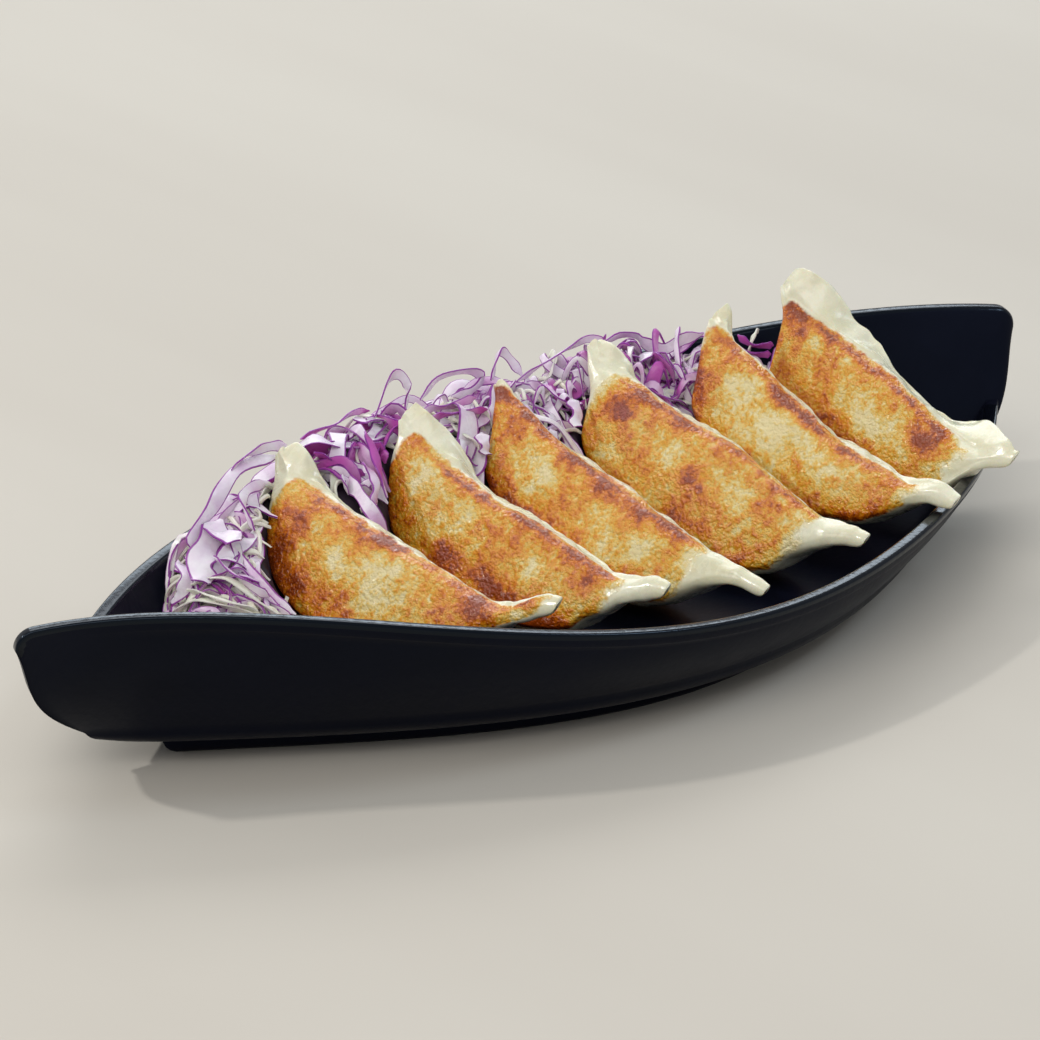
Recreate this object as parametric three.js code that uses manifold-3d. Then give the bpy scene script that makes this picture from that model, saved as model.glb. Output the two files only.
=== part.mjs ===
// Pan-fried gyoza leaning in a row on shredded red cabbage, in a long black boat-shaped dish.
//
// Frame: millimetres, +Z up. The origin is the centre of the dish on the surface it stands on, and +X runs along
// the dish. The dish looks the same after half a turn about Z: each long wall is a tall fin at one end and sinks
// low at the other, where it dies into the tall fin of the opposite wall.

import * as THREE from 'three'
import Module from 'manifold-3d'
import { mergeVertices } from 'three/addons/utils/BufferGeometryUtils.js'

const wasm = await Module()
wasm.setup()

// ---------------------------------------------------------------- driving dimensions

const CLEARANCE = 0.3 // gap kept between pieces that rest on each other

const HALF_LENGTH = 145 // from the middle of the dish to each tip
const FIN_TIP_OFFSET = 7.4 // each tip stands this far to its own wall's side of the long axis
const LOW_END = { x: 131.5, y: -3.4 } // where the low end of a wall's rim nears the opposite fin
const LOW_END_REACH = { x: 4.0, y: 3.4 } // how far that end runs on, into the fin
const RIM_BELLY = [60.8, 4.0, -10.1, 16.6] // sideways bulge of a rim, as a polynomial along it
const RIM_HEIGHT = [25.5, -13.9, 22.3, 1.8, -19.3] // height of a rim, as a polynomial along it
const LOW_END_RISE = 5.6 // upturn over the last tenth of the rim
const FIN_CORNER_RADIUS = 3.6

const WALL = 3.4 // horizontal thickness of the walls
const RIM_ROUNDING = 0.9
const CHINE = { halfLength: 123, halfWidth: 56.5, height: 10, tipOffset: 1.8 }
const CHINE_TAPER = 0.152 // how much nearer the middle than the rim the chine's ends are
const STEM_BULGE = 3.0 // how far the fin's end edge bows out
const LOW_STEM_BULGE = 1.0
const SIDE_BULGE = 1.6 // how far the side of a wall bows out
const UNDERSIDE = 4.2 // height of the hull's bottom above the table
const UNDERSIDE_END_RISE = 1 // how much higher its two ends are
const FLOOR = 7 // height of the inside floor
const FLOOR_FILLET = 4.4 // where the walls run into the floor
const CHINE_FILLET = 6 // where they run into the hull's bottom
const KEEL_OVERLAP = 3 // how far each half of the hull reaches past the middle

const FOOT = { halfLength: 101, halfWidth: 44.9, height: 5.6, ring: 7, tipRing: 15.4, recess: 2.4 }
const LENS_SKEW = 0.06 // the foot and chine are fuller towards their low-walled end
const LENS_FLATTEN = -0.22
const LENS_STEPS = 24

// Each dumpling runs from its far tip, up on the cabbage, to its near tail. roll tips its browned base back from
// upright, in degrees. The base hangs sag below the line between the two tips and reaches down to width. flap is how
// far the bare dough stands above it at the far tip, up to flapEnd of the length, and start is how broad that tip is.
// The tail rises from the share tail of the length.
const DUMPLINGS = [
  {
    far: [-44.0, 35.4, 42.9], near: [-36.2, -43.3, 30.0], roll: 39.4, width: 29.5, height: 16.4,
    sag: 6.6, flap: 6.2, flapEnd: 0.34, start: 0.27, tail: 0.84,
  },
  {
    far: [-12.5, 33.8, 45.2], near: [-7.5, -45.5, 26.3], roll: 34.1, width: 26.5, height: 16.0,
    sag: 6.0, flap: 5.6, flapEnd: 0.32, start: 0.28, tail: 0.84,
  },
  {
    far: [12.3, 34.2, 45.7], near: [18.0, -47.9, 21.7], roll: 39.5, width: 24.0, height: 16.4,
    sag: 2.7, flap: 1.5, flapEnd: 0.1, start: 0.08, tail: 0.84,
  },
  {
    far: [42.2, 35.1, 47.0], near: [48.4, -48.1, 23.2], roll: 37.2, width: 25.2, height: 16.8,
    sag: 2.3, flap: 3.6, flapEnd: 0.18, start: 0.2, tail: 0.84,
  },
  {
    far: [72.3, 26.6, 51.1], near: [73.5, -49.6, 27.1], roll: 34.6, width: 26.0, height: 16.4,
    sag: 6.6, flap: 6, flapEnd: 0.11, start: 0.3, tail: 0.84,
  },
  {
    far: [93.8, 26.3, 54.4], near: [96.5, -44.9, 30.0], roll: 30.6, width: 24.0, height: 15,
    sag: 5.8, flap: 7.2, flapEnd: 0.5, start: 0.26, tail: 0.76,
  },
]
const DUMPLING_STATIONS = 30
const PLEATS = 7
const PLEAT_DEPTH = 0.9
const TAIL_SHARE = 0.12 // how low the tail reaches, of the width
const TAIL_THICKNESS = 4.5
const TAIL_HEIGHT = 0.2 // of the dumpling's height
const CREST_LEAN = 1.6 // how far the middle of the pleated crest hangs below the face's upper edge
const CREST_THICKNESS = 2.4
const FRONT = [-0.59, -0.71, 0.37] // the browned faces are open to this side: no cabbage stands before them
const OPEN_SPACE = { from: -7, to: 90 } // how far that space runs, from behind the face

// The heap's core runs left and right from its middle and rises over the floor there, less and less to its ends.
const HEAP = { middle: 19, left: 112, right: 120, rise: 31, steepLeft: 5, steepRight: 3.2 }
const HEAP_RIDGE = { left: 0.66, right: 0.84 } // how far across the dish its top is, of the way to the far wall
const HEAP_DROP = { left: 5, right: 1.5 } // from there to the far wall
const HEAP_TURN = 40 // over which the left figures turn into the right ones
const HEAP_NEAR = { left: -6, right: 8, from: -52, to: -22 } // its near edge, where no dumpling hides it and beyond
const HEAP_ENDS = { left: 0.985, right: 0.8 } // shares of its two lengths at which the core is cut off
const HEAP_EDGE = 1.5 // lowest thickness of the core
const HEAP_STEEPNESS = 1.8
const HEAP_STATIONS = 16
const HEAP_ROWS = 6
const WALL_GAP = 1.2 // between the heap and the wall that it leans on

// The shreds lie over the core: their ends sink into it and their middles arch clear.
const SHRED = { count: 36, segments: 4, seed: 20611, from: -92, to: 104, shortest: 20, longest: 44 }
const SHRED_SECTION = { width: [1.8, 3.6], thickness: [0.9, 1.2], turn: [0, 3], twist: [-1.6, 1.6] }
const SHRED_LIFT = [1.5, 5]
const GOLDEN_SHARE = 0.618034 // spreads the shreds evenly along the heap

const COLOURS = {
  dish: { color: 0x14161b, roughness: 0.38, metalness: 0 },
  dumpling: { color: 0xd79a4e, roughness: 0.45, metalness: 0 },
  cabbage: { color: 0xb678bd, roughness: 0.5, metalness: 0 },
}

// ---------------------------------------------------------------- small helpers

const plus = (a, b, k = 1) => [a[0] + k * b[0], a[1] + k * b[1], a[2] + k * b[2]]
const mix = (a, b, k) => a.map((value, i) => value + (b[i] - value) * k)
const dot = (a, b) => a[0] * b[0] + a[1] * b[1] + a[2] * b[2]
const cross = (a, b) => [a[1] * b[2] - a[2] * b[1], a[2] * b[0] - a[0] * b[2], a[0] * b[1] - a[1] * b[0]]
const unit = (a) => a.map((value) => value / Math.hypot(...a))
const { lerp, smoothstep } = THREE.MathUtils
const clamp = (value, low = 0, high = 1) => Math.min(high, Math.max(low, value))
const polynomial = (terms, t) => terms.reduceRight((sum, term) => sum * t + term, 0)
const bump = (t, centre, width) => Math.exp(-(((t - centre) / width) ** 2))
const radians = (degrees) => (degrees * Math.PI) / 180

// A repeatable stream of numbers from 0 to 1.
function randomStream(seed) {
  let state = seed
  return () => {
    state = (state + 0x6d2b79f5) | 0
    let value = Math.imul(state ^ (state >>> 15), 1 | state)
    value = (value + Math.imul(value ^ (value >>> 7), 61 | value)) ^ value
    return ((value ^ (value >>> 14)) >>> 0) / 4294967296
  }
}

// A closed skin through rings of points, turned to face outwards. cap gives the triangles that close one end ring,
// as indices into it.
function skin(rings, cap) {
  const size = rings[0].length
  const triangles = []
  for (let ring = 0; ring + 1 < rings.length; ring++) {
    for (let i = 0; i < size; i++) {
      const a = ring * size + i
      const b = ring * size + ((i + 1) % size)
      triangles.push([a, b, b + size], [a, b + size, a + size])
    }
  }
  const last = (rings.length - 1) * size
  for (const [a, b, c] of cap) {
    triangles.push([c, b, a], [last + a, last + b, last + c])
  }
  const points = rings.flat()
  const volume = triangles.reduce((sum, [a, b, c]) => sum + dot(points[a], cross(points[b], points[c])), 0)
  const index = volume < 0 ? triangles.map(([a, b, c]) => [a, c, b]) : triangles
  const geometry = new THREE.BufferGeometry()
  geometry.setAttribute('position', new THREE.Float32BufferAttribute(points.flat(), 3))
  geometry.setIndex(index.flat())
  return geometry
}

// Triangles that close a ring as a fan, and as a ladder between its two halves.
const fanCap = (size) => Array.from({ length: size - 2 }, (_, i) => [0, i + 1, i + 2])
function ladderCap(size) {
  const triangles = []
  for (let low = 0, high = size - 1; high - low > 1; low++, high--) {
    triangles.push([low, low + 1, high])
    if (high - low > 2) triangles.push([low + 1, high - 1, high])
  }
  return triangles
}

// The same for a flat outline of any form, each triangle turned the way the outline runs.
function outlineCap(outline) {
  const turn = Math.sign(THREE.ShapeUtils.area(outline))
  return THREE.ShapeUtils.triangulateShape(outline, []).map((triangle) => {
    const same = Math.sign(THREE.ShapeUtils.area(triangle.map((i) => outline[i]))) === turn
    return same ? triangle : triangle.toReversed()
  })
}

function toSolid(geometry) {
  const bare = geometry.clone()
  bare.deleteAttribute('normal')
  bare.deleteAttribute('uv')
  const merged = mergeVertices(bare, 1e-5)
  return new wasm.Manifold(
    new wasm.Mesh({
      numProp: 3,
      vertProperties: new Float32Array(merged.attributes.position.array),
      triVerts: new Uint32Array(merged.index.array),
    }),
  )
}

function toGeometry(solid) {
  const mesh = solid.getMesh()
  const geometry = new THREE.BufferGeometry()
  geometry.setAttribute('position', new THREE.BufferAttribute(new Float32Array(mesh.vertProperties), 3))
  geometry.setIndex(new THREE.BufferAttribute(new Uint32Array(mesh.triVerts), 1))
  geometry.computeVertexNormals()
  return geometry
}

const biggestBody = (solid) => solid.decompose().reduce((best, body) => (body.volume() > best.volume() ? body : best))

// ---------------------------------------------------------------- dish

// Half the outline of the foot or chine: t runs from -1 at one tip to 1 at the other.
function lensSide(t, halfWidth) {
  return -halfWidth * (1 - t * t) * (1 + LENS_SKEW * t + LENS_FLATTEN * t * t)
}

// Outer edge of a wall's rim, from its fin tip at t = -1 to its low end at t = 1.
function rimPoint(t) {
  const along = (1 + t) / 2
  const arch = clamp((t - 0.8) / 0.2) ** 2
  const reach = clamp((t - 0.9) / 0.1) ** 2
  const x = -HALF_LENGTH * (1 - along) + LOW_END.x * along + LOW_END_REACH.x * reach
  const belly = (1 - t * t) * polynomial(RIM_BELLY, t)
  const y = -belly - FIN_TIP_OFFSET * (1 - along) + LOW_END.y * along + LOW_END_REACH.y * reach
  const fromTip = Math.min(x + HALF_LENGTH, FIN_CORNER_RADIUS)
  const inset = FIN_CORNER_RADIUS - fromTip
  const corner = FIN_CORNER_RADIUS - Math.sqrt(FIN_CORNER_RADIUS ** 2 - inset ** 2)
  return [x, y, polynomial(RIM_HEIGHT, t) + LOW_END_RISE * arch - corner]
}

function chinePoint(t) {
  const rim = rimPoint(t)
  const taper = 1 - CHINE_TAPER * Math.abs(rim[0] / HALF_LENGTH) ** 5
  const x = rim[0] * taper
  const along = clamp(x / CHINE.halfLength, -1, 1)
  return [x, lensSide(along, CHINE.halfWidth) - CHINE.tipOffset * along, CHINE.height]
}

// Level direction out of a wall at t.
function outwards(t) {
  const step = 0.004
  const [dx, dy] = plus(rimPoint(Math.min(t + step, 0.9)), rimPoint(Math.min(t, 0.9 - step) - step), -1)
  const length = Math.hypot(dx, dy)
  return [dy / length, -dx / length, 0]
}

// Outer face of a wall: v runs from 0 at the rim to 1 at the chine.
function wallPoint(t, v) {
  const bow = bump(t, -1, 0.12)
  const stern = bump(t, 1, 0.12)
  const bulge = Math.sin(Math.PI * v ** 0.9)
  const straight = mix(rimPoint(t), chinePoint(t), v)
  const sideways = plus(straight, outwards(t), bulge * SIDE_BULGE * (1 - bow - stern))
  return plus(sideways, [LOW_STEM_BULGE * stern - STEM_BULGE * bow, 0, 0], bulge)
}

// One wall with its half of the hull's bottom, as rings from the rim to the keel and back up inside. grow thickens
// it on every side.
function hullHalf(columns, grow = 0) {
  const wallRows = [0, 0.03, 0.2, 0.4, 0.6, 0.8, 1]
  const rings = []
  for (let i = 0; i <= columns; i++) {
    const t = -Math.cos((Math.PI * i) / columns)
    const out = outwards(t)
    const rim = rimPoint(t)
    const chine = chinePoint(t)
    const keelX = chine[0] * (FOOT.halfLength / CHINE.halfLength)
    const footY = lensSide(clamp(keelX / FOOT.halfLength, -1, 1), FOOT.halfWidth)
    const bottom = UNDERSIDE + UNDERSIDE_END_RISE * Math.abs(keelX / FOOT.halfLength) ** 8 - grow
    const inwards = unit([keelX - chine[0], KEEL_OVERLAP - chine[1], 0])

    const outer = wallRows.map((v) => plus(wallPoint(t, v), out, grow))
    outer.push([...plus(chine, inwards, CHINE_FILLET * 0.3 - grow).slice(0, 2), (chine[2] + bottom) / 2])
    outer.push([...plus(chine, inwards, CHINE_FILLET).slice(0, 2), bottom + 0.6])
    outer.push([keelX, footY, bottom], [keelX, KEEL_OVERLAP, bottom])
    outer[0] = plus(plus(outer[0], out, -RIM_ROUNDING), [0, 0, grow])

    const drop = (rim[2] - FLOOR - FLOOR_FILLET) / (rim[2] - CHINE.height)
    const inner = wallRows.map((v) => plus(wallPoint(t, v * drop), out, -WALL - grow))
    const [x, y] = inner.at(-1)
    inner.push([...plus([x, y, 0], inwards, FLOOR_FILLET * 0.4).slice(0, 2), FLOOR + 0.3 * FLOOR_FILLET + grow])
    inner.push([...plus([x, y, 0], inwards, FLOOR_FILLET * 1.2).slice(0, 2), FLOOR + grow])
    inner.push([...mix([x, y], [keelX, KEEL_OVERLAP], 0.6), FLOOR + grow], [keelX, KEEL_OVERLAP, FLOOR + grow])
    inner[0] = plus(plus(inner[0], out, RIM_ROUNDING), [0, 0, grow])
    rings.push([...outer, ...inner.reverse()])
  }
  return toSolid(skin(rings, ladderCap(rings[0].length)))
}

function lensPrism(halfLength, halfWidth, bottom, top) {
  const side = Array.from({ length: LENS_STEPS }, (_, i) => {
    const t = -Math.cos((Math.PI * i) / LENS_STEPS)
    return new THREE.Vector2(t * halfLength, lensSide(t, halfWidth))
  })
  const outline = [...side, ...side.map((point) => point.clone().negate())]
  const prism = new THREE.ExtrudeGeometry(new THREE.Shape(outline), { depth: top - bottom, bevelEnabled: false })
  return toSolid(prism.translate(0, 0, bottom))
}

function dishSolid(columns, grow = 0) {
  const half = hullHalf(columns, grow)
  const foot = lensPrism(FOOT.halfLength + grow, FOOT.halfWidth + grow, -grow, FOOT.height)
  const recess = lensPrism(FOOT.halfLength - FOOT.tipRing, FOOT.halfWidth - FOOT.ring, -1, FOOT.recess)
  return half.add(half.rotate([0, 0, 180])).add(foot).subtract(recess)
}

// ---------------------------------------------------------------- dumplings

// Rises from 0 at one end to 1 at from, then falls to 0 at to, the more squarely the larger the power.
function arch(s, from, to, power) {
  if (s < from) return 1 - (1 - clamp(s) / from) ** power
  return 1 - clamp((s - from) / (to - from)) ** power
}

// Shares of the dumpling's sizes: s runs from 0 at the far tip to 1 at the tail. The base is a half moon with a blunt
// far end, hanging between the raised tips, and the filling ends where the tail begins.
const lowEdge = (s, start) => {
  const far = start + (1 - start) * (1 - (1 - clamp(s / 0.3)) ** 2.6)
  return far * (1 - (1 - TAIL_SHARE) * smoothstep(s, 0.69, 0.975))
}
const tipRamp = (s) => clamp(s / 0.05)
const saddle = (s, tail) => tipRamp(s) * (1 - smoothstep(s, tail, tail + 0.12))
const flapRise = (s, end) => tipRamp(s) * (1 - smoothstep(s, 0.2 * end, end))
const bodyHeight = (s) => Math.max(arch(s, 0.4, 0.94, 4), TAIL_HEIGHT)
const crestHeight = (s) => Math.max(arch(s, 0.45, 0.95, 2.2), TAIL_HEIGHT)

// The two tips are blunt and thin.
const tipTaper = (s) => 0.25 + 0.75 * Math.sqrt(clamp(1 - Math.abs(2 * s - 1) ** 24))

// Ring round the dumpling at s, as pairs: along the face from the line between the tips, and in from the browned
// base.
function dumplingRing(shape, s, grow) {
  const taper = tipTaper(s)
  const middle = Math.sin(Math.PI * s)
  const top = -shape.sag * saddle(s, shape.tail) - 0.5 * TAIL_THICKNESS * (1 - taper) + grow
  const low = mix([top], [-shape.width * lowEdge(s, shape.start)], taper)[0] - grow
  const height = shape.height * bodyHeight(s) * taper + grow
  const depth = shape.height * crestHeight(s) * taper + grow
  const pleat = PLEAT_DEPTH * middle * Math.sin(2 * Math.PI * PLEATS * s)
  const raised = shape.flap * flapRise(s, shape.flapEnd) * taper
  const crest = top + raised - grow - CREST_LEAN * middle + pleat
  const half = (CREST_THICKNESS / 2) * taper + grow
  const round = Math.min(1.6, height * 0.3)
  const face = top - low
  return [
    [low - 0.3, round - grow],
    [low + round, -grow],
    [(top + low) / 2, -grow],
    [top - round, -grow],
    [top + 0.2, round - grow],
    [(top + crest) / 2 + half, 0.45 * depth],
    [crest + half * 1.2, 0.76 * depth],
    [crest + half, depth - 0.5],
    [crest - half, depth],
    [crest - half - 0.16 * face, 0.35 * depth + 0.5 * height],
    [top - 0.66 * face, 0.7 * height],
    [low + 0.02 * face, 0.4 * height],
  ]
}

// The dumpling's own axes: along it to the tail, up its browned face, and in from that face.
function dumplingAxes(shape) {
  const along = unit(plus(shape.near, shape.far, -1))
  const lean = [Math.sin(radians(shape.roll)), 0, Math.cos(radians(shape.roll))]
  const across = unit(plus(lean, along, -dot(lean, along)))
  return { along, across, inwards: cross(across, along), length: Math.hypot(...plus(shape.near, shape.far, -1)) }
}

function dumplingSolid(shape, stations, grow = 0) {
  const { along, across, inwards, length } = dumplingAxes(shape)
  const rings = []
  for (let i = 0; i <= stations; i++) {
    const even = i / stations
    const s = (even + (1 - Math.cos(Math.PI * even)) / 2) / 2
    const centre = plus(shape.far, along, length * s + grow * (2 * s - 1))
    rings.push(dumplingRing(shape, s, grow).map(([a, b]) => plus(plus(centre, across, a), inwards, b)))
  }
  return toSolid(skin(rings, fanCap(rings[0].length)))
}

// The space before a browned face, out to the side that it shows to.
function openSpace(shape) {
  const { along, across, length } = dumplingAxes(shape)
  const shares = [0, 0.04, 0.12, 0.5, 0.77, 0.94, 1]
  const flapTop = (s) => shape.flap * flapRise(s, shape.flapEnd) - shape.sag * saddle(s, shape.tail)
  const upper = shares.map((s) => [length * s, flapTop(s) + 1])
  const lower = shares.map((s) => [length * s, -shape.width * lowEdge(s, shape.start) - 0.5]).reverse()
  const outline = [...upper, ...lower].map(([a, b]) => new THREE.Vector2(a, b))
  const cap = outlineCap(outline)
  const place = (reach) => outline.map(({ x, y }) => plus(plus(plus(shape.far, along, x), across, y), FRONT, reach))
  return toSolid(skin([place(OPEN_SPACE.from), place(OPEN_SPACE.to)], cap))
}

// ---------------------------------------------------------------- cabbage

// Inner face of the far wall at x and height z, as a distance from the long axis; above the rim, the rim's.
function farReach(x, z) {
  const inside = (t) => {
    const rim = rimPoint(t)
    const v = clamp((rim[2] - z) / (rim[2] - CHINE.height))
    return { rim: rim[2], point: plus(wallPoint(t, v), outwards(t), -WALL) }
  }
  let low = -1
  let high = 1
  for (let step = 0; step < 24; step++) {
    const t = (low + high) / 2
    if (inside(t).point[0] < -x) low = t
    else high = t
  }
  const { rim, point } = inside(low)
  return { y: -point[1], rim }
}

// The heap across the dish at x: its near edge, its ridge and where it meets the far wall, each with its height.
function heapSpan(x) {
  const left = x < HEAP.middle
  const share = clamp(Math.abs(x - HEAP.middle) / (left ? HEAP.left : HEAP.right))
  const top = FLOOR + HEAP.rise * (1 - share ** (left ? HEAP.steepLeft : HEAP.steepRight))
  const wall = farReach(x, HALF_LENGTH)
  const turn = clamp((x - HEAP.middle) / HEAP_TURN)
  const drop = lerp(HEAP_DROP.left, HEAP_DROP.right, turn)
  const farTop = Math.max(FLOOR + HEAP_EDGE, Math.min(wall.rim - 0.5, top - drop))
  const far = farReach(x, farTop).y - WALL_GAP
  const along = clamp((x - HEAP_NEAR.from) / (HEAP_NEAR.to - HEAP_NEAR.from))
  const near = Math.min(lerp(HEAP_NEAR.left, HEAP_NEAR.right, along), far * 0.3)
  const ridge = far * lerp(HEAP_RIDGE.left, HEAP_RIDGE.right, turn)
  return { near, ridge, far, top, farTop }
}

// Height of the heap's core at a point.
function heapHeight(x, y) {
  const { near, ridge, far, top, farTop } = heapSpan(x)
  if (y > ridge) return top - (top - farTop) * clamp((y - ridge) / (far - ridge)) ** HEAP_STEEPNESS
  const fall = clamp((ridge - y) / (ridge - near)) ** HEAP_STEEPNESS
  return Math.max(FLOOR + HEAP_EDGE, top - (top - FLOOR) * fall)
}

function heapCore() {
  const lift = FLOOR + CLEARANCE
  const filletTop = FLOOR + FLOOR_FILLET
  const from = HEAP.middle - HEAP.left * HEAP_ENDS.left
  const to = HEAP.middle + HEAP.right * HEAP_ENDS.right
  const rings = []
  for (let i = 0; i <= HEAP_STATIONS; i++) {
    const x = lerp(from, to, i / HEAP_STATIONS)
    const { near, far, farTop } = heapSpan(x)
    const wave = (y) => 0.9 * Math.sin(x * 0.33 + y * 0.21) + 0.7 * Math.sin(y * 0.47 - x * 0.12)
    const ring = []
    for (let row = 0; row <= HEAP_ROWS; row++) {
      const y = lerp(near, far, row / HEAP_ROWS)
      ring.push([x, y, Math.max(FLOOR + HEAP_EDGE, heapHeight(x, y) + wave(y))])
    }
    const foot = farReach(x, filletTop).y - WALL_GAP
    ring.push([x, Math.min(foot, far), Math.min(filletTop + 1, farTop - 0.5)])
    ring.push([x, foot - 1.4 * FLOOR_FILLET, lift], [x, near, lift])
    rings.push(ring)
  }
  return toSolid(skin(rings, fanCap(rings[0].length)))
}

// A ribbon of leaf: a flat strip along a curve, turning about it.
function shredSolid(points, width, thickness, turn) {
  const curve = new THREE.CatmullRomCurve3(points.map((point) => new THREE.Vector3(...point)))
  const rings = []
  for (let i = 0; i <= SHRED.segments; i++) {
    const u = i / SHRED.segments
    const centre = curve.getPoint(u).toArray()
    const along = curve.getTangent(u).toArray()
    const level = unit(cross(along, Math.abs(along[2]) > 0.9 ? [0, 1, 0] : [0, 0, 1]))
    const rise = cross(level, along)
    const angle = turn[0] + turn[1] * u
    const flat = plus(level.map((value) => value * Math.cos(angle)), rise, Math.sin(angle))
    const thin = cross(along, flat)
    const corners = [[1, 1], [-1, 1], [-1, -1], [1, -1]]
    rings.push(corners.map(([a, b]) => plus(plus(centre, flat, (a * width) / 2), thin, (b * thickness) / 2)))
  }
  return toSolid(skin(rings, fanCap(4)))
}

// Long shreds come first, and one that would cross a neighbour is drawn again elsewhere.
function shreds(neighbours) {
  const random = randomStream(SHRED.seed)
  const between = ([low, high]) => lerp(low, high, random())
  const list = []
  for (let draw = 0; list.length < SHRED.count && draw < 12 * SHRED.count; draw++) {
    const reach = lerp(SHRED.longest, SHRED.shortest, list.length / SHRED.count)
    const length = between([SHRED.shortest, reach])
    const x = lerp(SHRED.from, SHRED.to, (draw * GOLDEN_SHARE) % 1)
    const { ridge, near, far } = heapSpan(x)
    const y = lerp(near + 4, far - 1, random() ** 0.7)
    const heading = between([-0.75, 0.75]) + (draw % 3 === 0 ? Math.PI / 2 : 0)
    const lift = between(SHRED_LIFT) * (y > ridge - 8 ? 1.3 : 0.8)
    const bend = between([-0.3, 0.3]) * length
    const points = [-0.5, -0.25, 0, 0.25, 0.5].map((share) => {
      const sideways = bend * (0.25 - share * share)
      const px = x + Math.cos(heading) * share * length - Math.sin(heading) * sideways
      const free = y + Math.sin(heading) * share * length + Math.cos(heading) * sideways
      const py = Math.min(free, heapSpan(px).far - 2)
      return [px, py, heapHeight(px, py) + lift * (1 - 4.6 * share * share) - 0.4]
    })
    const turn = [between(SHRED_SECTION.turn), between(SHRED_SECTION.twist)]
    const shred = shredSolid(points, between(SHRED_SECTION.width), between(SHRED_SECTION.thickness), turn)
    if (neighbours.every((solid) => shred.intersect(solid).isEmpty())) list.push(shred)
  }
  return list
}

// ---------------------------------------------------------------- assembly

function piece(name, solid, look) {
  const mesh = new THREE.Mesh(toGeometry(solid), new THREE.MeshStandardMaterial(look))
  mesh.name = name
  return mesh
}

const DISH_COLUMNS = 28
const COARSE_STATIONS = 12
const group = new THREE.Group()
group.add(piece('dish', dishSolid(DISH_COLUMNS), COLOURS.dish))
DUMPLINGS.forEach((shape, i) => {
  group.add(piece(`gyoza_${i + 1}`, dumplingSolid(shape, DUMPLING_STATIONS), COLOURS.dumpling))
})

const openSpaces = DUMPLINGS.map(openSpace)
const closeFits = DUMPLINGS.map((shape) => dumplingSolid(shape, DUMPLING_STATIONS, 1.5 * CLEARANCE))
const looseFits = DUMPLINGS.map((shape) => dumplingSolid(shape, COARSE_STATIONS, 2.5 * CLEARANCE))
const roomyDish = dishSolid(DISH_COLUMNS, CLEARANCE)
const core = [...looseFits, ...openSpaces, roomyDish].reduce((solid, space) => solid.subtract(space), heapCore())
const loose = shreds([roomyDish, ...closeFits, ...openSpaces])
const heap = loose.reduce((solid, shred) => solid.add(shred), biggestBody(core))
group.add(piece('cabbage_shreds', biggestBody(heap), COLOURS.cabbage))

export default group
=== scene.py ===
"""Pan-fried gyoza leaning in a row on shredded red cabbage, in a long black boat-shaped dish.

Blender 4.5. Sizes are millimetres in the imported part's frame: the origin is the centre of the dish on what it
stands on, +X runs along the dish and +Z is up. MM turns them into Blender's metres.
"""

import itertools
import math
import random

import bpy
import numpy as np
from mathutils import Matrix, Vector
from mathutils.bvhtree import BVHTree
from mathutils.kdtree import KDTree


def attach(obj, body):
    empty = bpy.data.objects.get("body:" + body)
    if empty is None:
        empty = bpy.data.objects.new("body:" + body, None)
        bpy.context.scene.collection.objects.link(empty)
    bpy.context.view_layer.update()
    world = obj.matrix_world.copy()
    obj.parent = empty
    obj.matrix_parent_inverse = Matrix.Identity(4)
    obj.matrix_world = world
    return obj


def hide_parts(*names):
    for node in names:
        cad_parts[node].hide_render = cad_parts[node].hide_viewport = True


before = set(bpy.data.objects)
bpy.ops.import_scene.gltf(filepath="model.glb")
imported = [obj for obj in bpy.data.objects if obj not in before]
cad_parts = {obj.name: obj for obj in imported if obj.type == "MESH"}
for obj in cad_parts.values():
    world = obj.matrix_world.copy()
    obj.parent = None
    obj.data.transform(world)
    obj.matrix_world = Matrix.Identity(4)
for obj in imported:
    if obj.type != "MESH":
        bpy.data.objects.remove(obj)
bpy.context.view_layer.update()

MM = 0.001

# ---------------------------------------------------------------- small helpers


def polynomial(terms, t):
    return sum(term * t**power for power, term in enumerate(terms))


def smoothstep(value, low, high):
    share = np.clip((value - low) / (high - low), 0, 1)
    return share * share * (3 - 2 * share)


def bump(t, centre, width):
    return np.exp(-(((t - centre) / width) ** 2))


def unit(vectors):
    vectors = np.asarray(vectors, float)
    return vectors / np.linalg.norm(vectors, axis=-1, keepdims=True)


def mix(a, b, share):
    return a + (b - a) * share


def lattice_noise(points, size, seed=0):
    """Smooth noise from -1 to 1 over points, with bumps about size across."""
    scaled = np.asarray(points, float) / size + 31.7
    cell = np.floor(scaled).astype(np.int64)
    part = scaled - cell
    fade = part * part * (3 - 2 * part)
    total = np.zeros(len(scaled))
    for corner in itertools.product((0, 1), repeat=3):
        x, y, z = (cell + corner).T
        mixed = (x * 73856093) ^ (y * 19349663) ^ (z * 83492791) ^ (seed * 2654435761)
        mixed = ((mixed ^ (mixed >> 13)) * 1274126177) & 0xFFFFFFFF
        value = ((mixed ^ (mixed >> 16)) & 0xFFFF) / 32767.5 - 1
        weight = np.prod(np.where(corner, fade, 1 - fade), axis=1)
        total += value * weight
    return total


def catmull_rom(before, start, end, beyond, u):
    """Points at shares u of the stretch from start to end of a smooth curve through four points."""
    curve = 2 * start + (end - before) * u + (2 * before - 5 * start + 4 * end - beyond) * u**2
    return 0.5 * (curve + (3 * start - 3 * end + beyond - before) * u**3)


def closed_curve(points, counts):
    """Closed smooth curves through rings (ring, point, axis), with counts samples for each stretch."""
    size = points.shape[1]
    parts = []
    for i, count in enumerate(counts):
        u = (np.arange(count) / count)[None, :, None]
        parts.append(catmull_rom(*(points[:, [(i + k) % size]] for k in (-1, 0, 1, 2)), u))
    return np.concatenate(parts, axis=1)


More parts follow.
